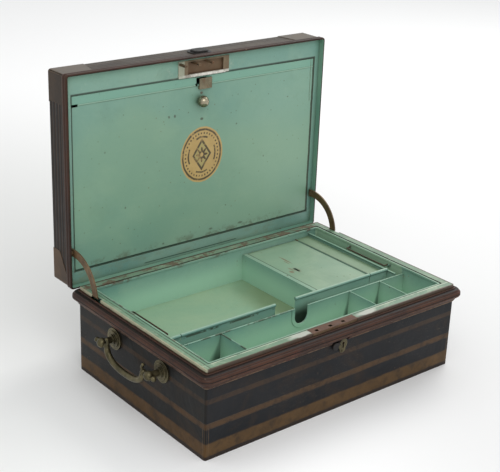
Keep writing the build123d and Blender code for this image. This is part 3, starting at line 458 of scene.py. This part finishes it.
# ------------------------------------------------------------------ special greens
def flap_extra(g, col, rough, nrm):
    pv = g.new("ShaderNodeTexVoronoi", feature="F1", voronoi_dimensions="2D")
    g.put(pv.inputs["Vector"], g.vec(g.x, g.z))
    pv.inputs["Scale"].default_value = 36.0
    pv.inputs["Randomness"].default_value = 1.0
    pd = g.add(pv.outputs[0], g.mul(g.sub(g.noise(320.0, 3.0, 0.6), 0.5), 0.03))
    pits = g.mul(g.inv(g.step(pd, 0.020, 0.040)), g.step(g.noise(24.0, 2.0, 0.5, 0.0, g.shift(v=(2, 5, 5))), 0.44, 0.52))
    col = g.mix(g.mul(pits, 0.8), col, lin(58, 54, 40))
    # the flap: cooler, a little darker toward the left; the band above the crease painted lighter, with a painted
    # highlight line on the crease and painted shade just under it; marks; the oval
    dy = g.sub(g.z, ZR)
    front = g.step(g.ny, -0.5, -0.8)
    wash = g.noise(4.5, 4.0, 0.55, 0.6, g.shift(v=(2, 2, 2)))
    col = g.mix(g.mul(g.step(wash, 0.35, 0.7), 0.35), col, lin(104, 146, 128))
    ylw = g.noise(3.2, 3.0, 0.5, 0.5, g.shift(v=(5, 5, 2)))
    col = g.mix(g.mul(g.mul(front, g.step(ylw, 0.40, 0.62)), 0.38), col, lin(140, 168, 132))
    rgt = g.step(g.x, -0.02, 0.17)
    col = g.mix(g.mul(g.mul(front, rgt), 0.22), col, lin(150, 186, 158))
    # painted light on the bent strip above the crease, a painted highlight on the crease and painted shade under it
    band = g.step(dy, 0.2368, 0.2378)
    col = g.mix(g.mul(band, 0.55), col, lin(118, 168, 148))
    crease_highlight_line = g.band(dy, 0.2370, 0.2380, 0.0003)
    col = g.mix(g.mul(crease_highlight_line, 0.35), col, lin(176, 196, 170))
    crease_shade_line = g.band(dy, 0.2356, 0.2367, 0.0004)
    col = g.mix(g.mul(g.mul(crease_shade_line, g.step(g.noise(30.0, 4.0, 0.6), 0.35, 0.55)), 0.42), col, lin(74, 104, 84))
    # open joint round the flap: painted shade in the gap, dark, wandering a little
    gw = g.mul(g.sub(g.noise(34.0, 5.0, 0.7, 0.4, g.shift(v=(3, 3, 7))), 0.5), 0.0030)
    ex = g.add(g.x, gw)
    gapc = g.mix(g.noise(60.0, 4.0, 0.6), lin(26, 34, 26), lin(58, 62, 42))
    jr = g.mul(g.step(ex, 0.1940, 0.1947), front)
    col = g.mix(g.mul(jr, 0.92), col, gapc)
    jl = g.mul(g.step(g.mul(g.x, -1.0), 0.1956, 0.1961), front)
    col = g.mix(g.mul(jl, 0.75), col, gapc)
    jt = g.mul(g.step(g.add(dy, g.mul(gw, 0.25)), 0.2482, 0.2487), g.add(0.45, g.mul(g.step(g.x, 0.03, 0.19), 0.5)))
    col = g.mix(jt, col, gapc)
    jb = g.inv(g.step(g.add(dy, g.mul(gw, 0.2)), 0.0210, 0.0218))
    col = g.mix(g.mul(jb, 0.85), col, lin(34, 54, 42))
    # a second, kinked scuff line inside the right edge
    k1 = g.mul(g.band(g.add(ex, g.mul(gw, 0.8)), 0.1905, 0.1915, 0.0004), g.mul(g.step(dy, 0.186, 0.190), front))
    col = g.mix(g.mul(k1, 0.75), col, lin(66, 78, 58))
    # generic oval ornament: ochre ground, dark ring, lozenge and dots
    u = g.math("DIVIDE", g.sub(g.x, 0.002), 0.035)
    v = g.math("DIVIDE", g.sub(dy, 0.141), 0.039)
    uu, vv = g.mul(u, u), g.mul(v, v)
    r = g.math("SQRT", g.add(uu, vv))
    rag = g.mul(g.sub(g.noise(150.0, 5.0, 0.7), 0.5), 0.05)
    rr_ = g.add(r, rag)
    oval = g.mul(g.inv(g.step(rr_, 0.985, 1.0)), front)
    ochre = g.mix(g.noise(60.0, 6.0, 0.7, 0.3), lin(168, 134, 76), lin(202, 170, 108))
    col = g.mix(g.mul(oval, 0.95), col, ochre)
    dark = g.mix(g.noise(120.0, 5.0, 0.7), lin(46, 40, 30), lin(74, 62, 42))
    ring = g.band(rr_, 0.86, 0.93, 0.012)
    ang = g.math("ARCTAN2", v, u)
    # rope of dots between two rings
    dots = g.step(g.math("SINE", g.mul(ang, 36.0)), 0.0, 0.3)
    rope = g.mul(g.band(rr_, 0.735, 0.80, 0.015), dots)
    loz = g.inv(g.step(g.add(g.mul(g.ab(u), 1.35), g.mul(g.ab(v), 1.05)), 0.60, 0.625))
    loz_in = g.inv(g.step(g.add(g.mul(g.ab(u), 1.35), g.mul(g.ab(v), 1.05)), 0.46, 0.485))
    # eight-petal rosette inside the lozenge
    pet = g.add(0.20, g.mul(g.math("COSINE", g.mul(ang, 8.0)), 0.07))
    ros = g.inv(g.step(g.sub(r, pet), 0.0, 0.02))
    hub = g.inv(g.step(r, 0.065, 0.085))
    # four arcs at the sides
    arcs = g.mul(g.band(rr_, 0.60, 0.665, 0.012), g.step(g.math("COSINE", g.mul(ang, 4.0)), -0.25, -0.05))
    leaf = g.mul(g.band(rr_, 0.52, 0.70, 0.03), g.inv(g.step(g.ab(g.math("SINE", g.mul(ang, 2.0))), 0.10, 0.5)))
    ink = g.mx(g.mx(ring, rope), g.mx(g.mul(loz, g.inv(loz_in)), g.mx(g.mul(ros, g.inv(hub)), g.inv(g.inv(arcs)))))
    wornp = g.step(g.noise(95.0, 7.0, 0.75, 0.3, g.shift(v=(1, 6, 6))), 0.36, 0.50)
    col = g.mix(g.mul(g.mul(ink, oval), g.add(0.25, g.mul(wornp, 0.68))), col, dark)
    teal = g.mul(g.mul(loz_in, g.inv(g.step(g.sub(pet, r), -0.05, -0.02))), oval)
    col = g.mix(g.mul(teal, 0.45), col, lin(138, 150, 98))
    lift = g.mul(oval, g.step(g.noise(75.0, 7.0, 0.75, 0.4, g.shift(v=(5, 5, 1))), 0.66, 0.70))
    col = g.mix(g.mul(lift, 0.8), col, lin(120, 160, 138))
    # marks in the paint
    for (mx_, my_, rx, rz, k) in ((0.001, 0.191, 0.0024, 0.0016, 0.8), (-0.043, 0.201, 0.0016, 0.0022, 0.75), (-0.052, 0.201, 0.0014, 0.0016, 0.7),
                                 (0.060, 0.175, 0.0012, 0.0012, 0.6), (-0.120, 0.090, 0.0012, 0.0015, 0.6), (0.110, 0.120, 0.0010, 0.0012, 0.55),
                                 (0.045, 0.060, 0.0012, 0.0009, 0.6), (0.150, 0.200, 0.0013, 0.0010, 0.6), (-0.150, 0.170, 0.0011, 0.0014, 0.5),
                                 (0.072, 0.028, 0.0040, 0.0016, 0.6), (0.020, 0.030, 0.0030, 0.0014, 0.6), (-0.06, 0.026, 0.0018, 0.0012, 0.6)):
        s = g.mul(g.spot(mx_, YE + 0.008, ZR + my_, rx, 0.02, rz, 0.30, 300.0), front)
        col = g.mix(g.mul(s, k), col, lin(66, 66, 50))
    # rust round the latch window and along the free edges
    for (mx_, my_, rx, rz, k) in ((-0.0005, 0.2265, 0.0022, 0.0016, 0.8), (-0.010, 0.2495, 0.003, 0.0012, 0.8), (0.008, 0.2435, 0.0012, 0.004, 0.5)):
        s = g.spot(mx_, YE + 0.008, ZR + my_, rx, 0.02, rz, 0.35, 260.0)
        col = g.mix(g.mul(s, k), col, lin(84, 62, 42))
    low = g.mul(g.inv(g.step(dy, 0.022, 0.034)), g.step(g.noise(70.0, 6.0, 0.7), 0.50, 0.62))
    col = g.mix(g.mul(low, 0.5), col, lin(84, 80, 58))
    return col, rough, nrm


def painted_fill_low(g, col, k=0.7):
    """painted light: upright faces low inside the tray are painted lighter, against the shade there"""
    side = g.inv(g.step(g.ab(g.nz), 0.3, 0.6))
    f = g.mul(side, g.inv(g.step(g.z, 0.080, 0.113)))
    return g.mix(g.mul(f, k), col, lin(172, 214, 186))


def wall_extra(g, col, rough, nrm):
    # painted light: the upright faces low inside the tray are lightened
    intray = g.mul(g.step(g.z, 0.0665, 0.0670), g.inv(g.step(g.ab(g.y), 0.1205, 0.1210)))
    col = g.mix(intray, col, painted_fill_low(g, col, 0.75))
    # painted shadow where the dividers meet the cross wall, wider toward the floor
    fy = g.mul(g.step(g.ab(g.ny), 0.5, 0.8), g.band(g.y, -0.0580, -0.0545, 0.0002))
    low = g.inv(g.step(g.z, 0.066, 0.107))
    for x_, w_, k_ in ((-0.1229, 0.021, 0.92), (0.0881, 0.010, 0.80), (0.1436, 0.010, 0.80)):
        wd = g.add(0.0012, g.mul(low, w_))
        u_ = g.math("DIVIDE", g.sub(x_ + 0.0003, g.x), wd)
        m_ = g.mul(g.inv(g.step(u_, 0.35, 1.0)), g.step(u_, -0.05, 0.0))
        col = g.mix(g.mul(g.mul(g.mul(m_, fy), g.add(0.35, g.mul(low, 0.65))), k_), col, lin(16, 30, 20))
    # the channel between the cross walls is in deep shade behind the notch
    ch_ = g.mul(g.mul(g.band(g.y, -0.0412, -0.0390, 0.0002), g.step(g.ny, -0.5, -0.8)), g.band(g.x, -0.028, 0.046, 0.010))
    col = g.mix(g.mul(g.mul(ch_, g.inv(g.step(g.z, 0.086, 0.1065))), 0.93), col, lin(12, 20, 13))
    # chipped upper edge of the cross wall
    top = g.mul(g.step(g.z, 0.1052, 0.1058), g.inv(g.step(g.z, 0.1078, 0.1082)))
    cn = g.noise(44.0, 6.0, 0.7, 0.3, g.shift(v=(2, 7, 7)))
    lf = g.inv(g.step(g.x, -0.06, 0.02))
    col = g.mix(g.mul(g.mul(g.mul(top, lf), g.step(cn, 0.47, 0.53)), 0.8), col, lin(62, 66, 48))
    # rolled tops: shaded under the roll
    hem = g.mul(g.band(g.z, 0.1086, 0.1102, 0.0003), g.inv(g.step(g.ab(g.nz), 0.5, 0.7)))
    col = g.mix(g.mul(hem, 0.65), col, lin(52, 76, 60))
    return col, rough, nrm


def tray_extra(g, col, rough, nrm):
    # painted light: the upright faces low inside the tray are lightened
    col = painted_fill_low(g, col, 0.70)
    # painted light on the upright faces of the right-hand pocket
    pocket_fill_light = g.mul(g.step(g.x, 0.1870, 0.1880), g.step(g.y, -0.054, -0.052))
    col = g.mix(g.mul(g.mul(pocket_fill_light, g.inv(g.step(g.ab(g.nz), 0.3, 0.6))), 0.5), col, lin(178, 206, 168))
    # floor: yellower; brown stain in the corners and along the cash wall
    fl = g.mul(g.step(g.nz, 0.6, 0.9), g.inv(g.step(g.z, 0.070, 0.074)))
    n1 = g.noise(10.0, 5.0, 0.6, 0.8, g.shift(v=(3, 8, 2)))
    col = g.mix(g.mul(fl, 0.55), col, g.mix(g.step(n1, 0.35, 0.68), lin(146, 180, 146), lin(164, 188, 150)))
    s1 = g.mul(g.spot(0.045, 0.030, 0.067, 0.030, 0.075, 0.03, 0.22, 18.0, 0.55), fl)
    col = g.mix(g.mul(s1, 0.55), col, lin(112, 122, 78))
    s2 = g.mul(g.spot(0.030, -0.025, 0.067, 0.040, 0.020, 0.03, 0.25, 25.0, 0.5), fl)
    col = g.mix(g.mul(s2, 0.55), col, lin(110, 118, 76))
    # painted shade on the floor of the channel between the cross walls
    channel_floor_shade = g.mul(fl, g.band(g.y, -0.0560, -0.0400, 0.001))
    col = g.mix(g.mul(channel_floor_shade, 0.85), col, lin(20, 32, 20))
    sc = g.noise(60.0, 2.0, 0.5, 3.0, g.shift(v=(2, 2, 2), s=(1.0, 0.35, 1.0), r=(0, 0, 0.7)))
    scr = g.mul(g.band(sc, 0.497, 0.503, 0.002), fl)
    col = g.mix(g.mul(scr, 0.30), col, lin(118, 134, 104))
    # rim of the pan: scuffed, brown marks at the rear left and rear right
    for (x_, y_, rx, ry, k) in ((-0.150, 0.1206, 0.028, 0.0016, 0.85), (-0.060, 0.1206, 0.014, 0.0014, 0.7), (0.010, 0.1206, 0.016, 0.0013, 0.7),
                               (0.172, 0.1190, 0.006, 0.0040, 0.8), (-0.1894, -0.060, 0.0012, 0.02, 0.6), (-0.1894, 0.05, 0.0012, 0.03, 0.7),
                               (-0.1894, -0.10, 0.0014, 0.012, 0.7)):
        s = g.mul(g.spot(x_, y_, 0.1163, rx, ry, 0.004, 0.45, 70.0, 0.4), g.step(g.noise(110.0, 5.0, 0.7), 0.42, 0.55))
        col = g.mix(g.mul(s, k), col, lin(92, 62, 48))
    return col, rough, nrm


def cash_extra(g, col, rough, nrm):
    du = g.noise(10.0, 4.0, 0.6, 0.4, g.shift(v=(3, 9, 9)))
    col = g.mix(g.add(0.50, g.mul(g.step(du, 0.35, 0.65), 0.45)), col, (0.68, 0.70, 0.73, 1.0), "MULTIPLY")
    n1 = g.noise(12.0, 5.0, 0.6, 0.8, g.shift(v=(3, 8, 2)))
    top = g.step(g.nz, 0.6, 0.9)
    col = g.mix(g.mul(top, 0.35), col, g.mix(g.step(n1, 0.35, 0.7), lin(138, 168, 134), lin(168, 186, 148)))
    seam = g.mx(g.band(g.x, 0.1472, 0.1506, 0.0004), g.inv(g.step(g.x, 0.0590, 0.0596)))
    col = g.mix(g.mul(g.mul(seam, top), 0.88), col, g.mix(n1, lin(38, 52, 36), lin(66, 70, 46)))
    eg = g.mul(g.mx(g.inv(g.step(g.y, -0.0350, -0.0330)), g.step(g.y, 0.1150, 0.1175)), top)
    col = g.mix(g.mul(eg, 0.5), col, lin(88, 108, 78))
    sd_ = g.mul(g.step(g.x, 0.1506, 0.1512), top)
    col = g.mix(g.mul(sd_, 0.55), col, g.mix(n1, lin(98, 116, 84), lin(130, 156, 122)))
    fl_ = g.noise(8.0, 6.0, 0.72, 1.0, g.shift(v=(1, 1, 5)))
    col = g.mix(g.mul(g.mul(top, g.step(fl_, 0.52, 0.66)), 0.35), col, lin(104, 136, 108))
    for (x_, y_, rx, ry, k) in ((0.088, 0.071, 0.0012, 0.0120, 0.8), (0.084, 0.064, 0.0008, 0.0060, 0.7), (0.069, 0.036, 0.0030, 0.0040, 0.7),
                               (0.074, 0.044, 0.0016, 0.0060, 0.5), (0.0795, 0.0378, 0.0040, 0.0080, 0.35)):
        s = g.spot(x_, y_, 0.1055, rx, ry, 0.004, 0.35, 170.0, 0.35)
        col = g.mix(g.mul(g.mul(s, top), k), col, lin(116, 78, 52))
    return col, rough, nrm


def rim_extra(g, col, rough, nrm):
    du = g.noise(10.0, 4.0, 0.6, 0.4, g.shift(v=(3, 9, 9)))
    col = g.mix(g.add(0.50, g.mul(g.step(du, 0.35, 0.65), 0.45)), col, (0.68, 0.70, 0.73, 1.0), "MULTIPLY")
    # top of the flange: scuffed cream with brown; outer face of the upstand brown
    top = g.step(g.nz, 0.6, 0.9)
    sc = g.noise(38.0, 6.0, 0.7, 0.6, g.shift(v=(1, 2, 3)))
    col = g.mix(g.mul(top, 0.62), col, g.mix(g.step(g.noise(20.0, 5.0, 0.65, 0.4, g.shift(v=(7, 7, 1))), 0.35, 0.65), lin(92, 116, 92), lin(122, 148, 118)))
    col = g.mix(g.mul(top, g.mul(g.step(sc, 0.50, 0.66), 0.40)), col, lin(178, 188, 162))
    # bright line along the middle of the front flange, a painted highlight broken into pieces; brown dirt outside it
    fr_ = g.mul(g.inv(g.step(g.y, -0.1200, -0.1190)), top)
    ln = g.mul(g.band(g.add(g.y, g.mul(g.sub(g.noise(30.0, 4.0, 0.6), 0.5), 0.0012)), -0.1252, -0.1240, 0.0003), fr_)
    col = g.mix(g.mul(g.mul(ln, g.step(g.noise(45.0, 5.0, 0.7, 0.2, g.shift(v=(3, 1, 1))), 0.38, 0.52)), 0.75), col, lin(206, 212, 190))
    lx = g.add(g.x, g.mul(g.sub(g.noise(24.0, 4.0, 0.6, 0.3, g.shift(v=(2, 6, 6))), 0.5), 0.0016))
    inn = g.mul(g.mul(g.step(lx, -0.1958, -0.1952), g.inv(g.step(g.x, -0.190, -0.189))), top)
    col = g.mix(g.mul(inn, 0.60), col, lin(98, 136, 112))
    # painted shadow line along the gap over the left flange, broken
    lnl = g.mul(g.mul(g.band(lx, -0.1966, -0.1954, 0.0003), top), g.step(g.noise(32.0, 5.0, 0.7, 0.2, g.shift(v=(4, 1, 9))), 0.36, 0.50))
    col = g.mix(g.mul(lnl, 0.85), col, lin(34, 44, 30))
    crm = g.mul(g.inv(g.step(lx, -0.2010, -0.2004)), top)
    col = g.mix(g.mul(crm, 0.75), col, lin(184, 182, 152))
    ob = g.mul(g.mx(g.step(g.add(g.ab(g.y), g.mul(g.sub(sc, 0.5), 0.006)), 0.1318, 0.1330), g.step(g.add(g.ab(g.x), g.mul(g.sub(sc, 0.5), 0.006)), 0.1998, 0.2010)), top)
    col = g.mix(g.mul(g.mul(ob, g.step(g.x, -0.2005, -0.1990)), 0.70), col, lin(88, 70, 50))
    out = g.mx(g.step(g.ab(g.x), 0.2012, 0.2020), g.step(g.ab(g.y), 0.1332, 0.1340))
    wob = g.mul(g.sub(g.noise(90.0, 5.0, 0.7), 0.5), 0.003)
    outw = g.mx(g.step(g.add(g.ab(g.x), wob), 0.2004, 0.2012), g.step(g.add(g.ab(g.y), wob), 0.1324, 0.1332))
    brn = g.mix(g.noise(60.0, 6.0, 0.7), lin(50, 33, 25), lin(86, 58, 42))
    cream = g.mix(g.noise(70.0, 6.0, 0.7, 0.3), lin(140, 138, 110), lin(196, 192, 162))
    lft = g.mul(g.inv(g.step(g.x, -0.2020, -0.2000)), g.step(g.add(g.z, wob), 0.1134, 0.1142))
    col = g.mix(g.mul(g.mx(out, g.mul(outw, 0.8)), 0.92), col, g.mix(g.mul(lft, 0.9), brn, cream))
    # inner edge of the flange: painted shade line round the opening where the gap to the tray is, broken
    gx, gy = g.sub(g.ab(g.x), 0.1916), g.sub(g.ab(g.y), 0.1228)
    gap = g.mul(g.inv(g.step(g.mx(gx, gy), 0.0004, 0.0012)), g.step(g.noise(26.0, 5.0, 0.65, 0.2, g.shift(v=(5, 1, 4))), 0.34, 0.50))
    col = g.mix(g.mul(gap, 0.75), col, lin(48, 60, 42))
    rr1 = g.noise(52.0, 7.0, 0.75, 0.5, g.shift(v=(6, 1, 1)))
    rear = g.step(g.y, 0.118, 0.124)
    col = g.mix(g.mul(g.mul(rear, g.step(rr1, 0.50, 0.58)), 0.8), col, lin(100, 68, 52))
    # bare patches beside the lock plate
    for x_ in (-0.060, 0.048):
        s = g.spot(x_, -0.1285, 0.1168, 0.016, 0.0045, 0.005, 0.35, 90.0, 0.35)
        col = g.mix(g.mul(g.mul(s, top), 0.8), col, lin(186, 186, 176))
    return col, rough, nrm


def frame_extra(g, col, rough, nrm):
    dy = g.sub(g.z, ZR)
    # rear strip is scuffed and stained where it faces the hinge
    low = g.inv(g.step(dy, 0.012, 0.026))
    n1 = g.noise(46.0, 7.0, 0.75, 0.4, g.shift(v=(2, 5, 5), s=(0.4, 1, 1)))
    col = g.mix(g.mul(g.mul(low, g.step(n1, 0.48, 0.62)), 0.45), col, lin(120, 132, 104))
    l2 = g.mul(g.band(g.add(dy, g.mul(g.sub(n1, 0.5), 0.0006)), 0.0040, 0.0054, 0.0003), g.band(g.x, -0.090, 0.066, 0.002))
    col = g.mix(g.mul(g.mul(l2, g.step(g.ny, -0.5, -0.8)), 0.85), col, lin(40, 66, 50))
    # painted shade in the joint beside the flap
    jw = g.mul(g.sub(g.noise(34.0, 5.0, 0.7, 0.4, g.shift(v=(3, 3, 7))), 0.5), 0.0020)
    j1 = g.mul(g.mul(g.inv(g.step(g.add(g.ab(g.x), jw), 0.1976, 0.1982)), g.step(g.ny, -0.5, -0.8)), g.band(dy, 0.018, 0.2515, 0.0006))
    col = g.mix(g.mul(j1, 0.8), col, lin(40, 46, 34))
    # around the lock keep
    s = g.spot(0.002, YE + 0.008, ZR + 0.262, 0.050, 0.02, 0.012, 0.3, 80.0, 0.5)
    n2 = g.step(g.noise(120.0, 6.0, 0.7), 0.45, 0.6)
    col = g.mix(g.mul(g.mul(s, n2), 0.5), col, lin(176, 182, 160))
    hi = g.step(dy, 0.26, 0.275)
    col = g.mix(g.mul(hi, 0.25), col, lin(118, 168, 146))
    return col, rough, nrm


def strike_extra(g, col):
    # sunk box rusty, left end worn bright; lower lip worn bright and painted near-white as a highlight
    dy, q = g.sub(g.z, ZR), g.sub(g.y, YE)
    n_ = g.noise(90.0, 6.0, 0.7, 0.3)
    col = g.mix(g.mul(g.step(q, 0.0085, 0.0095), 0.6), col, g.mix(n_, lin(58, 42, 30), lin(112, 82, 54)))
    flat = g.inv(g.step(q, 0.0076, 0.0082))
    col = g.mix(g.mul(flat, 0.45), col, g.mix(n_, lin(96, 78, 58), lin(150, 140, 116)))
    le = g.mul(g.inv(g.step(g.x, -0.0300, -0.0280)), flat)
    col = g.mix(g.mul(le, g.add(0.45, g.mul(n_, 0.6))), col, lin(176, 182, 162))
    # lower lip: worn bright, with a painted highlight
    lip = g.mul(g.inv(g.step(dy, 0.2534, 0.2540)), g.inv(g.step(q, 0.0070, 0.0076)))
    col = g.mix(g.mul(lip, g.add(0.35, g.mul(g.step(g.x, -0.035, -0.010), 0.6))), col, g.mix(g.step(n_, 0.3, 0.6), lin(168, 164, 152), lin(236, 234, 226)))
    return col


GREEN = green("green_enamel")
GREEN_FLAP = green("green_enamel_flap", flap_extra, chips=0.8)
GREEN_TRAY = green("green_enamel_tray", tray_extra, corner_dirt_and_shade=0.6)
GREEN_CASH = green("green_enamel_cash", cash_extra)
GREEN_RIM = green("green_enamel_rim", rim_extra, cream_edge=0.45)
GREEN_FRAME = green("green_enamel_frame", frame_extra)
GREEN_WALL = green("green_enamel_walls", wall_extra, cream_edge=0.14, corner_dirt_and_shade=0.55)
BLACK = black_wall()
BLACK2 = plain_black("japan_small")
MOULD = moulding("moulding_japan")
BEAD = moulding("bead_japan", True)
LIDM = lid_outside()
CORNER = corner_plate()
LUG = plain_black("lug_dark", (20, 21, 21), (38, 36, 34), (84, 80, 74), 0.45, 0.3)
BRASS = brass("old_bronze", 0.38)
ESC = brass("escutcheon_bronze", 0.55)
NICKEL = steel("knob_nickel", (112, 104, 86), (182, 174, 150), metal=0.95, rough=0.10, rust=0.35)
STRIKE = steel("strike_steel", (96, 76, 54), (128, 108, 82), metal=0.30, rough=0.42, rust=0.5, extra=strike_extra)
RUSTY = steel("rusty_steel", (86, 66, 46), (120, 100, 76), metal=0.35, rough=0.5, rust=0.7)
LIPST = steel("bright_worn_steel", (150, 146, 138), (206, 202, 192), metal=0.8, rough=0.26, rust=0.35)
PLATE = steel("lock_plate_brown", (70, 46, 34), (98, 66, 48), metal=0.25, rough=0.42, rust=0.5)
TAB = steel("latch_tab_brown", (100, 92, 72), (134, 124, 100), metal=0.4, rough=0.42, rust=0.6)
STAY = steel("stay_bronzed", (84, 66, 44), (118, 96, 66), metal=0.45, rough=0.38, rust=0.35)
WIRE = steel("tray_wire", (44, 36, 25), (76, 62, 42), metal=0.2, rough=0.5, rust=0.35)

use = {
    "body_shell": BLACK, "bottom_plate": BLACK2, "rim_moulding": MOULD, "rim_frame": GREEN_RIM, "lock_plate": PLATE,
    "lock_case": RUSTY, "lock_levers": RUSTY, "lever_post": RUSTY, "lever_spring": RUSTY, "bolt_guide": RUSTY, "lock_bolt": RUSTY,
    "escutcheon": ESC, "escutcheon_pin": ESC, "cover_pin": ESC, "keyhole_cover": BLACK2,
    "handle_posts_left": BRASS, "handle_posts_right": BRASS, "handle_nuts": RUSTY, "bail_left": BRASS, "bail_right": BRASS,
    "ledge_front": GREEN_WALL, "ledge_rear": GREEN_WALL, "hinge_leaves_case": BLACK2, "hinge_leaves_lid": BLACK2, "hinge_pins": RUSTY,
    "case_rivets": BLACK2, "lid_rivets": BLACK2,
    "lid_shell": LIDM, "lid_edge_bead": BEAD, "lid_corner_plates": CORNER, "lid_inner_frame": GREEN_FRAME,
    "strike_plate": STRIKE, "strike_staples": RUSTY, "thumb_lug": LUG, "stay_left": STAY, "stay_right": STAY, "stay_rivets": STAY,
    "flap_pivot_pins": RUSTY, "flap_panel": GREEN_FLAP, "latch_tab": TAB, "knob_washer": RUSTY, "flap_knob": NICKEL,
    "tray_pan": GREEN_TRAY, "wall_a_left": GREEN_WALL, "wall_a_right": GREEN_WALL, "wall_b": GREEN_WALL, "notch_lip": GREEN_WALL,
    "front_dividers": GREEN_WALL, "cash_wall": GREEN_WALL, "side_strip": GREEN_CASH, "ridge_wall": GREEN_WALL, "cash_ledge": GREEN_WALL,
    "cash_hinge_knuckles": GREEN_CASH, "cash_hinge_pin": RUSTY, "tray_handle_lugs": GREEN_WALL,
    "tray_handle_left": WIRE, "tray_handle_right": WIRE, "cash_lid": GREEN_CASH, "cash_bolt": RUSTY,
}
for n, o in N.items():
    o.data.materials.clear()
    o.data.materials.append(use[n])

# inside faces of the case walls and bottom are painted green too
def split(o, test, mat):
    o.data.materials.append(mat)
    k = len(o.data.materials) - 1
    for p in o.data.polygons:
        if test(p.center, p.normal):
            p.material_index = k

split(N["body_shell"], lambda c, n: n.x * c.x + n.y * c.y < -0.02 and abs(c.x) < 0.2028 and abs(c.y) < 0.1348, GREEN_WALL)
split(N["bottom_plate"], lambda c, n: n.z > 0.5, GREEN_WALL)

# ------------------------------------------------------------------ stage
S = bpy.context.scene
def mesh_obj(name, verts, faces, mat=None, smooth=False):
    me = bpy.data.meshes.new(name)
    me.from_pydata([tuple(v) for v in verts], [], faces)
    me.update()
    o = bpy.data.objects.new(name, me)
    S.collection.objects.link(o)
    if mat:
        me.materials.append(mat)
    if smooth:
        for p in me.polygons:
            p.use_smooth = True
    return o

floor = mesh_obj("studio_floor", [(-6, -6, 0), (6, -6, 0), (6, 8, 0), (-6, 8, 0)], [(0, 1, 2, 3)])
fm = bpy.data.materials.new("studio_white")
fm.use_nodes = True
fb = fm.node_tree.nodes["Principled BSDF"]
fb.inputs["Roughness"].default_value = 0.9
fb.inputs["Specular IOR Level"].default_value = 0.1
ft = fm.node_tree
fg = ft.nodes.new("ShaderNodeNewGeometry")
def along(v, lo, hi):
    d = ft.nodes.new("ShaderNodeVectorMath")
    d.operation = "DOT_PRODUCT"
    ft.links.new(fg.outputs["Position"], d.inputs[0])
    d.inputs[1].default_value = v
    m_ = ft.nodes.new("ShaderNodeMapRange")
    m_.interpolation_type = "SMOOTHSTEP"
    ft.links.new(d.outputs["Value"], m_.inputs[0])
    m_.inputs[1].default_value = lo
    m_.inputs[2].default_value = hi
    return m_.outputs[0]
def fmix(f, a, b):
    n = ft.nodes.new("ShaderNodeMix")
    n.data_type = "RGBA"
    ft.links.new(f, n.inputs[0])
    for k_, v_ in ((6, a), (7, b)):
        if isinstance(v_, tuple):
            n.inputs[k_].default_value = v_
        else:
            ft.links.new(v_, n.inputs[k_])
    return n.outputs[2]
# floor colour varies by place as painted light and shade: lightest just in front of the box, darker to the left, right
# and around it, plain further back
AC, DP = (0.78, -0.63, 0.0), (0.64, 0.77, 0.0)
near = fmix(along(AC, -0.35, -0.05), (0.83, 0.835, 0.825, 1), (0.94, 0.94, 0.94, 1))
near = fmix(along(AC, 0.02, 0.30), near, (0.79, 0.79, 0.79, 1))
mid_ = fmix(along(AC, -0.40, 0.30), (0.71, 0.715, 0.705, 1), (0.79, 0.79, 0.79, 1))
near = fmix(along(DP, -0.15, 0.15), near, mid_)
ft.links.new(fmix(along(DP, 0.40, 1.5), near, (0.905, 0.905, 0.905, 1)), fb.inputs["Base Color"])
floor.data.materials.append(fm)

w = bpy.data.worlds.new("studio")
S.world = w
w.use_nodes = True
w.node_tree.nodes["Background"].inputs[0].default_value = (0.985, 0.995, 1.0, 1)
w.node_tree.nodes["Background"].inputs[1].default_value = 0.83

def area(name, loc, target, size, power, col=(1, 1, 1), sy=None):
    l = bpy.data.lights.new(name, "AREA")
    l.energy = power
    l.color = col
    l.shape = "RECTANGLE"
    l.size = size
    l.size_y = sy or size
    o = bpy.data.objects.new(name, l)
    S.collection.objects.link(o)
    o.location = loc
    d = Vector(target) - Vector(loc)
    o.rotation_euler = d.to_track_quat("-Z", "Y").to_euler()
    return o

area("key", (1.7, 0.6, 1.9), (0, 0, 0.12), 1.2, 22.0, (1.0, 0.99, 0.97))

area("front_fill", (-0.7, -1.5, 1.9), (0.0, -0.25, 0.0), 1.4, 15.0)

# ------------------------------------------------------------------ camera
cam = bpy.data.cameras.new("cam")
co = bpy.data.objects.new("cam", cam)
S.collection.objects.link(co)
S.camera = co
cam.sensor_fit = "HORIZONTAL"
cam.sensor_width = 36.0
cam.lens = 83.098
cam.clip_start = 0.05
cam.clip_end = 50.0
cam.dof.use_dof = False
R = Vector((0.77783238, -0.62748317, 0.03523711))
U = Vector((0.21053238, 0.31298534, 0.92612974))
D = Vector((0.59215952, 0.71295515, -0.37555566))
M = Matrix(((R.x, U.x, -D.x, -0.8872934), (R.y, U.y, -D.y, -1.0244527), (R.z, U.z, -D.z, 0.7335959), (0, 0, 0, 1)))
co.matrix_world = M

S.view_settings.view_transform = "Standard"
S.view_settings.look = "None"
S.view_settings.exposure = 0.0
S.view_settings.gamma = 1.0
